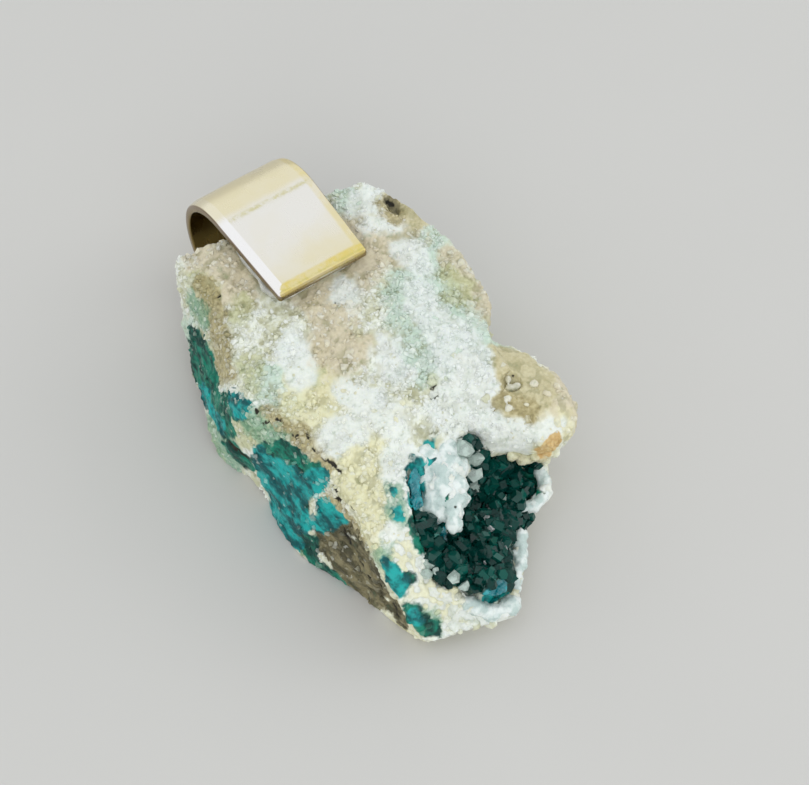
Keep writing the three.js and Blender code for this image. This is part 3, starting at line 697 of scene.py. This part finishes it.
def gold_finish():
    f = Finish("pale_gold")
    drawn = f.noise(0.16, detail=2, place=f.stretched(1, 24, 24))
    cloud, fine = f.spread(f.noise(3.2)), f.spread(f.noise(0.35))
    # Painted reflection: the tone is warmer on the bend and towards the legs' ends, with a cloud of
    # random tone over it.
    warmth = f.sum(f.mask("warm_reflection"), cloud, 0.3)
    # Painted reflection: yellow at the legs' ends and along the right border, patchy with noise.
    yellow_reflection = f.times(f.mask("yellow"), f.between(f.sum(cloud, fine, 0.8), 0.2, 1.3, 0.55, 1))
    # Painted shade: thin darker lines at the border's crease near the ends and where the bend meets
    # the legs.
    line = f.times(f.mask("line"), f.between(fine, 0.1, 0.9, 0.2, 0.7))
    tone = f.blend(f.between(warmth, 0.1, 1.1), (240, 236, 229), (236, 225, 188))
    # Painted highlight: the left border nearly white, less on the bend.
    tone = f.blend(f.sum(0, f.mask("painted_highlight"), 0.9), tone, (252, 249, 248))
    tone = f.blend(yellow_reflection, tone, (232, 212, 128))
    tone = f.blend(line, tone, (206, 196, 122))
    # Painted shade, with a painted brown reflection of the stone, on the strap's side faces and
    # ends.
    tone = f.blend(f.times(f.mask("side"), 0.85), tone, (132, 108, 84))
    # Painted shade: the inner face a darker brownish gold.
    tone = f.blend(f.mask("inner"), tone, (150, 130, 84))
    return f.surface(
        Base_Color=tone,
        Metallic=1.0,
        Roughness=f.between(f.sum(cloud, drawn, 0.5), 0.1, 1.3, 0.2, 0.34),
        Normal=f.bump(f.sum(drawn, f.noise(1.4), 0.6), 0.003),
    )


# ---- the stone ----
RIGHT_SWELL = 0.4  # how far the right side stands out beyond the plain solid
WAVE_SIZE, WAVE_HEIGHT = 3.2, 0.14
FACET_SIZE, FACET_HEIGHT = 1.15, 0.24
SUGAR_SIZE, SUGAR_HEIGHT = 0.52, 0.09
FIBRE_SIZE, FIBRE_HEIGHT = 0.62, 0.2
FIBRE_STRETCH = [1, 1, 0.28]
DARK_DEPTH = 0.2
FLAT_BACK = 0.4  # the stone is smoother below this height


def under_strap(points, margin):
    """Where the strap's legs, with the glue, cover the stone."""
    reach = STRAP_WIDTH / 2 + margin
    return (np.abs(points[:, 0] - STRAP_X) < reach) & (points[:, 1] > LEG_END_Y - margin)


def open_stone(verts, normals, margin, low):
    """1 where lumps can stand on the stone, and 0 under the strap and near the floor."""
    covered = under_strap(verts, margin) & (np.abs(normals[:, 2]) > 0.5)
    return ~covered & (verts[:, 2] >= low)


def chrysocolla_in(masks):
    return np.maximum(masks["turquoise"], masks["teal"])


def make_rock():
    verts, faces = rock_verts.copy(), rock_faces
    normals = vertex_normals(verts, faces)
    masks = masks_on(verts)
    chrysocolla = chrysocolla_in(masks)
    plain = 0.3 * masks["beige"] + 0.45 * masks["yellow"]
    smooth = np.clip(0.8 * masks["tan"] + 0.3 * masks["white"] + plain + 0.5 * chrysocolla, 0, 0.9)
    smooth = np.maximum(smooth, 0.75 * (verts[:, 2] < FLAT_BACK))
    facets = broken_facets(verts, FACET_SIZE, 2)
    sugar = broken_facets(verts, SUGAR_SIZE, 3)
    height = WAVE_HEIGHT * layered_noise(verts, WAVE_SIZE, 1)
    height = height + (1 - smooth) * (FACET_HEIGHT * facets + SUGAR_HEIGHT * sugar)
    fibres = 1 - np.abs(smooth_noise(verts * FIBRE_STRETCH, FIBRE_SIZE, 11))
    height += chrysocolla * FIBRE_HEIGHT * (fibres - 0.6)
    side = ease(verts[:, 1], 1, 4) * (1 - ease(verts[:, 1], 9.5, 13))
    height += RIGHT_SWELL * ease(verts[:, 0], 6, 9) * ease(normals[:, 0], 0, 0.7) * side
    height -= DARK_DEPTH * masks["dark"]
    covered = under_strap(verts, 0.7) & (np.abs(normals[:, 2]) > 0.6)
    height = np.where(covered, np.clip(height, -0.25, 0.0), height)
    verts += normals * height[:, None]
    verts[:, 2] = np.maximum(verts[:, 2], 0.01)
    # The facets' height, which the stone's finish turns into painted shade in the low spots.
    masks["relief"] = np.clip(0.5 + 0.9 * (facets + 0.5 * sugar), 0, 1)
    finish = stone_finish("quartz_rock")
    piece("rock_surface", verts, faces, finish, masks, ["rock"], smooth=True)
    return verts, faces, normals, masks


# ---- the white growths ----
# The lumps of the rounded growths, as x, y, z and radius.
TONGUE = [
    (-0.9, -10.5, 9.4, 1.6), (0.9, -10.7, 9.4, 1.5), (0, -12, 9.4, 1.4), (1, -12.2, 8.9, 1.15),
    (-1.6, -12.2, 9.1, 1), (-1, -13.1, 9.2, 1.1), (0, -13.7, 9, 0.95), (-2.1, -13.5, 8.8, 0.8),
    (-1.1, -14.4, 8.8, 1), (-0.3, -14.7, 8.6, 0.75), (-1.4, -15.3, 8.5, 0.8),
    (-1.8, -16.1, 8.2, 0.65), (-1.35, -14.1, 9.1, 0.75), (-2.7, -14.1, 8.6, 0.7),
    (-2.5, -14.9, 8.4, 0.55),
]
HOOK = [
    (9, -12.7, 4.4, 0.7), (8.5, -14, 3.7, 0.65), (8.3, -14.8, 3.5, 0.62), (7.8, -15.5, 3.4, 0.6),
    (7.1, -15.9, 3.3, 0.62), (6.3, -16.1, 3.2, 0.66), (5.6, -15.9, 3.2, 0.6),
    (4.95, -15.75, 3.2, 0.5),
]
RIM = [
    (4.7, -16.95, 2.6, 0.45), (3.9, -17.5, 2.5, 0.5), (3.3, -18.25, 2.5, 0.48),
    (2.65, -19.25, 2.5, 0.48), (1.95, -20.15, 2.5, 0.5), (1.1, -20.95, 2.5, 0.52),
    (0.3, -21.7, 2.4, 0.58), (-0.5, -22.4, 2.4, 0.62), (-1.5, -22.5, 2.5, 0.58),
    (-2.6, -21.9, 3.1, 0.6), (-3.6, -20.9, 4, 0.62),
]
# The ragged lower edge of the shoulder, as x, y, z and radius, and the way that it faces.
LIP = [
    (6.1, -13, 7.2, 0.55), (6.5, -13.1, 6.6, 0.65), (7, -13.3, 6.1, 0.7), (7.6, -13.5, 6, 0.65),
    (7.9, -13.9, 6.8, 0.6), (8.4, -14.1, 6.3, 0.65), (8.8, -14.3, 5.9, 0.6), (8.9, -14.3, 7, 0.6),
]
LIP_WAY = (-0.3, -0.8, -0.5)
GROWTH_CLEAR = 1.3  # how far round the hook and the rim the stone carries nothing else
GROWTH_NET = (0.13, 2)
# How many knobs stand on a lump, and their least and most radius.
TONGUE_KNOBS, TONGUE_KNOB = 9, (0.26, 0.5)
RIM_KNOBS, RIM_KNOB = 2, (0.26, 0.4)


def off_growths(points, clear=GROWTH_CLEAR):
    """0 where the white growths and the lip cover a point, and 1 clear of them."""
    hook, rim = (distance_to_line(points, [p[:3] for p in line]) for line in (HOOK, RIM[1:-1]))
    lumps = [np.linalg.norm(points - (x, y, z), axis=1) - r for x, y, z, r in TONGUE + LIP]
    return ease(np.minimum(hook, rim), 0.6 * clear, clear) * ease(np.min(lumps, axis=0), 0.2, 0.6)


def along(line, step):
    """Points about step apart on a line of points, each with the values in between."""
    line = np.array(line, float)
    lengths = np.linalg.norm(np.diff(line[:, :3], axis=0), axis=1)
    at = join([[0], np.cumsum(lengths)])
    places = np.linspace(0, at[-1], max(2, round(at[-1] / step)))
    return np.stack([np.interp(places, at, line[:, k]) for k in range(line.shape[1])], 1)


def make_growths():
    """The white tongue, hook and scalloped rim, as clusters of rounded lumps grown together."""
    lumps = []
    for x, y, z, r in TONGUE:
        lumps.append((x, y, z, 0.92 * r + 0.12))
        for _ in range(TONGUE_KNOBS):
            way = unit(rng.normal(size=3))
            lumps.append((*(np.array([x, y, z]) + way * r * 0.8), rng.uniform(*TONGUE_KNOB)))
    for x, y, z, r in along(HOOK[1:], 0.45):
        lumps.append((x, y, z, 0.98 * r))
    for *middle, r in along(RIM[1:], 0.75):
        lumps.append((*(middle + rng.uniform(-0.15, 0.15, 3)), r * rng.uniform(0.9, 1.5)))
        for _ in range(RIM_KNOBS):
            way = unit(rng.normal(size=3))
            way[2] = abs(way[2])
            lumps.append((*(middle + way * 0.5), rng.uniform(*RIM_KNOB)))
    lumps = np.array(lumps)
    upright = np.tile([0, 0, 1], (len(lumps), 1))
    ball = bmesh.new()
    bmesh.ops.create_icosphere(ball, subdivisions=2, radius=1.0)
    sizes = lumps[:, 3:] * np.ones(3)
    made, tris, _ = scattered([shape_of(ball)], lumps[:, :3], upright, sizes)
    verts, faces = remeshed(made, tris, *GROWTH_NET)
    normals = vertex_normals(verts, faces)
    masks = masks_on(verts, ["dark"])
    height = 0.09 * broken_facets(verts, 0.65, 60) + 0.06 * smooth_noise(verts, 0.9, 61)
    verts += normals * height[:, None]
    finish = white_quartz_finish()
    piece("white_quartz_growths", verts, faces, finish, masks, smooth=True)


# ---- the grains and lumps ----
GRAIN_COUNT = 5000
GRAIN_RADIUS = (0.18, 0.46)
GRAINS_SHUN = {"tan": 1, "beige": 0.7, "yellow": 0.6, "brown": 0.6, "dark": 1, "white": 0.5}


def make_grains(verts, faces, normals, masks):
    """The sugary grains that stand on the broken quartz."""
    facing = ease(normals[:, 2], -0.1, 0.5)
    weight = (0.1 + facing) * (1 - 0.9 * ease(-verts[:, 1], 14, 17)) * off_growths(verts)
    weight *= ease(smooth_noise(verts, 1.6, 40), -0.9, 0.2)
    weight *= (1 - 0.9 * chrysocolla_in(masks)) * open_stone(verts, normals, 0.35, 0.5)
    for name, share in GRAINS_SHUN.items():
        weight *= 1 - share * masks[name]
    weight *= 1 - 0.9 * ease(verts[:, 0], 8.5, 9.5) * ease(-verts[:, 1], 3, 5)
    places, owner = surface_points(verts, faces, weight, GRAIN_COUNT)
    least, most = GRAIN_RADIUS
    radius = least + (most - least) * rng.random(GRAIN_COUNT) ** 2
    sizes = radius[:, None] * rng.uniform(0.75, 1.2, (GRAIN_COUNT, 3))
    axes = normals[owner] + rng.normal(scale=0.5, size=(GRAIN_COUNT, 3))
    places = places - normals[owner] * radius[:, None] * 0.35
    made, tris, grain = scattered(lump_shapes(12, 14), places, axes, sizes)
    layers = {name: values[owner][grain] for name, values in masks.items() if name != "relief"}
    layers["tint"] = rng.random(GRAIN_COUNT)[grain]
    finish = stone_finish("quartz_grains", grains=True)
    piece("rock_grains", made, tris, finish, layers)


# Single lumps on the tan shoulder: the pixel and the radius in millimetres.
SHOULDER_LUMPS = [
    (508, 379, 0.4), (510, 389, 0.55), (517, 387, 0.5), (534, 384, 0.48), (508, 399, 0.4),
    (509, 408, 0.42), (526, 405, 0.34), (547, 393, 0.4), (557, 387, 0.38),
]
ROUNDED_TRIES = 9000
ROUNDED_RADIUS, ROUNDED_SPREAD = 0.24, 0.42
ROUNDED_GAP = 0.72  # how close two lumps grow, as a share of the sum of their radii
ROUNDED_NET = (0.14, 2)


def spaced(places, radius):
    """Which of the balls to keep, taken in turn, so that none grows too far into another."""
    kept = []
    for i, place in enumerate(places):
        near = np.linalg.norm(places[kept] - place, axis=1) if kept else np.ones(0)
        if not (near < ROUNDED_GAP * (radius[kept] + radius[i])).any():
            kept.append(i)
    return np.array(kept)


def make_rounded(verts, faces, normals, masks):
    """Lumps of quartz grown together: the end face, the whitest places, the shoulder and lip."""
    end_face = ease(-verts[:, 1], 13.5, 16.5) * ease(normals[:, 2], -0.5, 0.1)
    weight = 2.2 * end_face + 0.8 * masks["white"] * ease(normals[:, 2], 0.2, 0.6)
    weight += 0.25 * ease(normals[:, 2], 0.4, 0.8)
    for name in ("tan", "turquoise", "teal", "dark", "brown"):
        weight *= 1 - masks[name]
    grown = np.maximum(ease(smooth_noise(verts, 1.9, 44), -0.5, 0.4), end_face)
    weight *= grown * off_growths(verts) * open_stone(verts, normals, 0.6, 0.6)
    places, owner = surface_points(verts, faces, weight, ROUNDED_TRIES)
    radius = ROUNDED_RADIUS + ROUNDED_SPREAD * rng.random(ROUNDED_TRIES) ** 1.8
    radius = radius + 0.1 * end_face[owner]
    kept = spaced(places, radius)
    places, owner, radius = places[kept], owner[kept], radius[kept]
    ways = normals[owner]
    places = places - ways * radius[:, None] * (0.65 - 0.45 * end_face[owner])[:, None]
    hits = [seen(px, py) for px, py, _ in SHOULDER_LUMPS]
    places = join([places, [tuple(hit[0]) for hit in hits], [p[:3] for p in LIP]])
    ways = join([ways, [tuple(hit[1]) for hit in hits], [LIP_WAY] * len(LIP)])
    radius = join([radius, [p[2] for p in SHOULDER_LUMPS], [p[3] for p in LIP]])
    sizes = radius[:, None] * rng.uniform(0.85, 1.15, (len(radius), 3))
    axes = ways + rng.normal(scale=0.4, size=ways.shape)
    made, tris, _ = scattered(lump_shapes(12, 24), places, axes, sizes)
    made, tris = remeshed(made, tris, *ROUNDED_NET)
    own = nearest(places, made)[0]
    on_lip = own >= len(kept) + len(SHOULDER_LUMPS)
    single = (own >= len(kept)) & ~on_lip
    layers = masks_on(made, [n for n in MARKINGS if n != "white"])
    layers["tint"] = rng.uniform(0.1, 0.5, len(places))[own]
    layers["white"] = np.full(len(made), 0.35)
    layers["beige"] = np.maximum(layers["beige"], 0.55 * single)
    for name in ("tan", "khaki"):
        layers[name] *= 1 - 0.8 * single
    layers["khaki"] = np.maximum(layers["khaki"], 0.45 * on_lip)
    finish = stone_finish("rounded_quartz", grains=True)
    piece("rounded_quartz", made, tris, finish, layers, smooth=True)


# ---- the crystals ----
CRYSTAL_COUNT = 800
CRYSTAL_RADIUS, CRYSTAL_SPREAD = 0.26, 0.42
CRYSTAL_POINTS = (0.34, 0.45, 0.55)  # shares of a crystal's length that its point takes up
# Where crystals reach out over the open edge of the hollow, and the way that they lean.
LEDGE = [
    (5.6, -16.4, 2.4), (5.25, -16.6, 2.3), (4.85, -16.8, 2.3), (4.4, -17, 2.2), (5.05, -16.3, 2.5),
    (4.55, -16.5, 2.6), (4.1, -16.8, 2.6), (8.3, -13, 4.6), (8, -13.3, 4.4), (8.4, -13.6, 4.1),
    (7.6, -13, 4.3), (7.2, -12.8, 4.5), (7.7, -13.4, 4.1), (8.7, -13.2, 4.5),
]
LEDGE_LEAN = (0.15, -0.35, 0.9)


def make_dioptase():
    verts, faces = crust_verts.copy(), crust_faces
    normals = vertex_normals(verts, faces)
    height = 0.2 * broken_facets(verts, 0.95, 70) + 0.1 * broken_facets(verts, 0.5, 71)
    masks = masks_on(verts, ["turquoise", "white"])
    moved = verts + normals * height[:, None]
    finish = dioptase_bed_finish()
    piece("dioptase_bed", moved, faces, finish, masks, ["dioptase_crust"])
    bare = [
        float(rock_tree.ray_cast(Vector(v + 0.02 * n), Vector(n), 0.8)[0] is None)
        for v, n in zip(verts, normals)
    ]
    open_side = np.array(bare) * ease(normals[:, 2], -0.75, -0.2)
    open_side *= (masks["turquoise"] < 0.3) * off_growths(verts, 0.9)
    places, owner = surface_points(verts, faces, open_side, CRYSTAL_COUNT)
    radius = CRYSTAL_RADIUS + CRYSTAL_SPREAD * rng.random(CRYSTAL_COUNT) ** 1.6
    length = radius * rng.uniform(2, 3.2, CRYSTAL_COUNT)
    axes = unit(normals[owner] + rng.normal(scale=0.6, size=(CRYSTAL_COUNT, 3)))
    places = places - axes * (0.45 * length)[:, None]
    ledge = np.array(LEDGE)
    lean = [LEDGE_LEAN] * len(ledge) + rng.normal(scale=0.3, size=ledge.shape)
    places = join([places, ledge])
    axes = join([axes, lean])
    radius = join([radius, rng.uniform(0.35, 0.5, len(ledge))])
    length = join([length, rng.uniform(0.9, 1.2, len(ledge))])
    sizes = np.stack([radius, radius * rng.uniform(0.75, 1, len(radius)), length], 1)
    shapes = [crystal_shape(p) for p in CRYSTAL_POINTS]
    made, tris, crystal = scattered(shapes, places, axes, sizes)
    layers = {"tint": (rng.random(len(places)) ** 2.5)[crystal]}
    finish = clear_finish(
        "dioptase", (0.04, 0.74, 0.64), density=500, ior=1.62, rough=0.03,
        tone=(4, 60, 54), body=0.75, shine=0.08, pale=(16, 98, 86),
    )
    piece("dioptase_crystals", made, tris, finish, layers)


# Single crystals that the picture shows: the pixel and the radius in millimetres.
PALE_CRYSTALS = [
    (464, 449, 1.1), (472, 459, 1.1), (474, 472, 0.95), (471, 482, 0.85), (478, 489, 0.5),
    (430, 562, 0.75), (427, 573, 0.65), (436, 571, 0.5), (454, 577, 0.7), (464, 585, 0.6),
    (447, 584, 0.45), (505, 499, 0.5),
]
# Painted highlights: near white crystals stood where the hollow shows small glints, each the pixel
# and the radius in millimetres.
GLINT_CRYSTALS = [
    (487, 519, 0.3), (490, 526, 0.42), (509, 527, 0.26), (504, 550, 0.24), (486, 561, 0.26),
    (446, 555, 0.3), (480, 495, 0.22), (467, 542, 0.25), (436, 520, 0.24), (493, 572, 0.22),
    (512, 545, 0.2),
]


def make_single_crystals(name, crystals, finish, reach, shapes, length):
    """Crystals that stand on what shows at their pixels, reach radii towards the camera."""
    hits = [seen(px, py) for px, py, _ in crystals]
    radius = np.array([size for _, _, size in crystals])
    axes = [unit(np.array(n) * 0.5 + BACK * 0.7 + rng.normal(scale=0.25, size=3)) for _, n in hits]
    places = np.array([tuple(hit[0]) for hit in hits]) + BACK * radius[:, None] * reach
    sizes = radius[:, None] * [1, 0.85, length]
    made, tris, _ = scattered(shapes, places, np.array(axes), sizes)
    piece(name, made, tris, finish)


# ---- the strap and its adhesive ----
STRAP_MARGIN = 0.85  # width of the strap's worn border
STRAP_FALL = 0.18  # how far that border drops
STRAP_CORNER = 0.2  # radius of its outer edges
INNER_CORNER = 0.14
LEG_TAPER = 0.06  # how much narrower a leg is at its end
# How far in from an end its rings stand, and how far in from a side a ring's points do.
END_STEPS = np.array([0, 0.02, 0.06, 0.12, 0.2, 0.28, 0.36, 0.44, 0.6, 0.85, 0.95])
SIDE_STEPS = np.array([0, 0.015, 0.05, 0.1, 0.16, 0.24, 0.4, 0.6, 0.85, 0.95, 1.5, 2.2, 3, 3.8])
STRAP_STEP = 0.18
GLUE_NET = (0.12, 3)
FRONT_GLUE_Z, BACK_GLUE_Z = 12.12, 1.33  # heights of the beads' middles
GLUE_HALF = 0.4  # half the height of a bead


def edge_drop(inset, corner):
    """How far a face with a rounded edge lies below its middle, at a distance in from the edge."""
    return corner - np.sqrt(np.maximum(corner**2 - np.clip(corner - inset, 0, corner) ** 2, 0))


def worn_drop(inset):
    """The same for the strap's outer face, whose border falls away."""
    return edge_drop(inset, STRAP_CORNER) + STRAP_FALL * (1 - np.clip(inset / STRAP_MARGIN, 0, 1))


def make_strap():
    """The strap, as rings of points round its section, from one leg's end to the other's."""
    mid_r = STRAP_R - STRAP_T / 2
    leg = BEND_Y - LEG_END_Y
    bend = math.pi * mid_r
    total = 2 * leg + bend
    middle = np.arange(1.1, total - 1.1, STRAP_STEP)
    stations = join([END_STEPS, middle, total - END_STEPS[::-1]])
    rings = []
    # Masks of painted light, by vertex: a painted highlight on the left border, a painted yellow
    # reflection at the ends and the right border, thin lines of painted shade, painted shade on the
    # inner face and on the sides and ends, and a warmer painted reflection on the bend and towards
    # the ends.
    masks = {name: [] for name in ("painted_highlight", "yellow", "line", "inner", "warm_reflection", "side")}
    for s in stations:
        if s < leg:
            y, z, out = LEG_END_Y + s, 2 * STRAP_R - STRAP_T / 2, (0, 1)
        elif s < leg + bend:
            a = math.pi / 2 - (s - leg) / mid_r
            y, z = BEND_Y + mid_r * math.cos(a), STRAP_R + mid_r * math.sin(a)
            out = (math.cos(a), math.sin(a))
        else:
            y, z, out = BEND_Y - (s - leg - bend), STRAP_T / 2, (0, -1)
        from_end = min(s, total - s)
        share = max(0, BEND_Y - y) / leg
        half = STRAP_WIDTH / 2 * (1 - LEG_TAPER * share) - edge_drop(from_end, 0.3)
        outer = join([-half + SIDE_STEPS, (half - SIDE_STEPS)[::-1]])
        depth = np.maximum(worn_drop(half - np.abs(outer)), worn_drop(from_end))
        inner = join([half - SIDE_STEPS[:6], (-half + SIDE_STEPS[:6])[::-1]])
        rise = edge_drop(half - np.abs(inner), INNER_CORNER)
        rise = np.maximum(rise, edge_drop(from_end, INNER_CORNER))
        across = join([outer, inner])
        off = join([STRAP_T / 2 - depth, rise - STRAP_T / 2])
        rings.append([(STRAP_X + x, y + out[0] * d, z + out[1] * d) for x, d in zip(across, off)])
        from_bend = abs(s - leg - bend / 2)
        bent = 1 - ease(from_bend, bend / 2 - 1, bend / 2 + 0.2)
        left, right = half + outer, half - outer
        border = (left < STRAP_MARGIN + 0.02) & (from_end > left)
        low = 1 - ease(from_end, STRAP_MARGIN, STRAP_MARGIN + 0.25)
        line = np.exp(-(((from_bend - bend / 2) / 0.22) ** 2))
        line += np.exp(-(((from_end - 0.36) / 0.08) ** 2))
        # Painted reflection: warmer on the bend and towards the leg's end.
        warm_reflection = max(0.8 * bent, 0.7 * float(ease(share, 0.2, 1)))
        none = [0] * len(inner)
        masks["painted_highlight"] += [*(border * (1 - 0.8 * bent)), *none]
        masks["yellow"] += [*(np.maximum(low, 0.5 * (right < 0.7)) * ~border), *none]
        masks["line"] += [*(line * ~border), *none]
        masks["inner"] += [0] * len(outer) + [1] * len(inner)
        masks["warm_reflection"] += [warm_reflection] * len(across)
        masks["side"] += [*np.maximum(half - np.abs(across) < 0.06, 0.5 * (from_end < 0.15))]
    rings = np.array(rings)
    count, n = rings.shape[:2]
    faces = []
    for k in range(count - 1):
        for i in range(n):
            a, b = k * n + i, k * n + (i + 1) % n
            faces += [[b + n, a + n, a], [b, b + n, a]]
    verts = join([rings.reshape(-1, 3), [rings[0].mean(0), rings[-1].mean(0)]])
    for i in range(n):
        j = (i + 1) % n
        last = (count - 1) * n
        faces += [[j, i, count * n], [last + i, last + j, count * n + 1]]
    verts[:-2] += 0.012 * smooth_noise(verts[:-2], 2.4, 90)[:, None] * [0, 0, 1]
    layers = {name: values + [0, 0] for name, values in masks.items()}
    piece("gold_strap", verts, faces, gold_finish(), layers, ["bail"], smooth=True)


def make_glue(name, node, middle_z):
    """The squeezed bead of adhesive under a leg, between the strap and the stone."""
    verts, faces = node_arrays(node)
    verts[:, 2] = middle_z + (verts[:, 2] - verts[:, 2].mean()) * 2
    verts, faces = remeshed(verts, faces, *GLUE_NET)
    normals = vertex_normals(verts, faces)
    verts += normals * (0.12 + 0.1 * layered_noise(verts, 1.6, 95))[:, None]
    low, high = verts[:, 2].min(), verts[:, 2].max()
    verts[:, 2] = middle_z + ((verts[:, 2] - low) / (high - low) * 2 - 1) * GLUE_HALF
    finish = clear_finish(
        name, (0.92, 0.93, 0.86), density=400, ior=1.5, rough=0.22,
        tone=(232, 232, 224), body=0.7,
    )
    piece(name, verts, faces, finish, nodes=[node], smooth=True)


# ---- the setting ----
FLOOR_HALF = 0.6  # metres, as everything else in the setting
SKY, SKY_STRENGTH = (0.95, 0.98, 1.0, 1.0), 0.95
# Each light: the way to it from the pendant, its distance, its width and its power in watts.
LIGHTS = {
    "front": ((-0.5, -0.8, 0.45), 0.42, 0.4, 0.37),
    "side": ((0.9, -0.25, 0.45), 0.42, 0.25, 0.22),
}


def make_setting():
    data = bpy.data.meshes.new("floor")
    corners = [(FLOOR_HALF * x, FLOOR_HALF * y, 0) for x, y in ((-1, -1), (1, -1), (1, 1), (-1, 1))]
    data.from_pydata(corners, [], [(0, 1, 2, 3)])
    floor = add_object("floor", data)
    f = Finish("floor")
    tone = f.blend(f.noise(40.0), (206, 204, 200), (200, 198, 194))
    data.materials.append(f.surface(Base_Color=tone, Roughness=0.7))
    world = bpy.data.worlds.new("studio")
    bpy.context.scene.world = world
    world.use_nodes = True
    sky = world.node_tree.nodes["Background"].inputs
    sky["Color"].default_value = SKY
    sky["Strength"].default_value = SKY_STRENGTH
    middle = Vector(in_row(CAMERA_TARGET))
    for label, (way, distance, width, power) in LIGHTS.items():
        light = bpy.data.lights.new(label, "AREA")
        light.size = width
        light.energy = power
        lamp = add_object(label, light)
        way = Vector(way).normalized()
        lamp.location = middle + way * distance
        lamp.rotation_euler = way.to_track_quat("Z", "Y").to_euler()
    bpy.context.scene.view_settings.view_transform = "Standard"


make_camera()
make_setting()
rock = make_rock()
make_grains(*rock)
make_rounded(*rock)
make_growths()
make_dioptase()
pale = clear_finish(
    "pale_crystal", (0.6, 0.82, 0.74), density=300, ior=1.56, rough=0.15,
    tone=(204, 222, 212), body=0.8,
)
make_single_crystals(
    "pale_crystals", PALE_CRYSTALS, pale,
    reach=0.6, shapes=lump_shapes(8, 16), length=1.2,
)
# Painted highlights: these near white crystals stand in for glints on the dioptase.
painted_highlight = clear_finish(
    "glint_quartz", (0.92, 0.95, 0.95), density=200, ior=1.54, rough=0.1,
    tone=(244, 248, 248), body=0.4,
)
make_single_crystals(
    "glint_crystals", GLINT_CRYSTALS, painted_highlight,
    reach=-0.3, shapes=[crystal_shape(0.4)], length=2.1,
)
make_strap()
make_glue("glue_bead_front", "glue_front", FRONT_GLUE_Z)
make_glue("glue_bead_back", "glue_back", BACK_GLUE_Z)
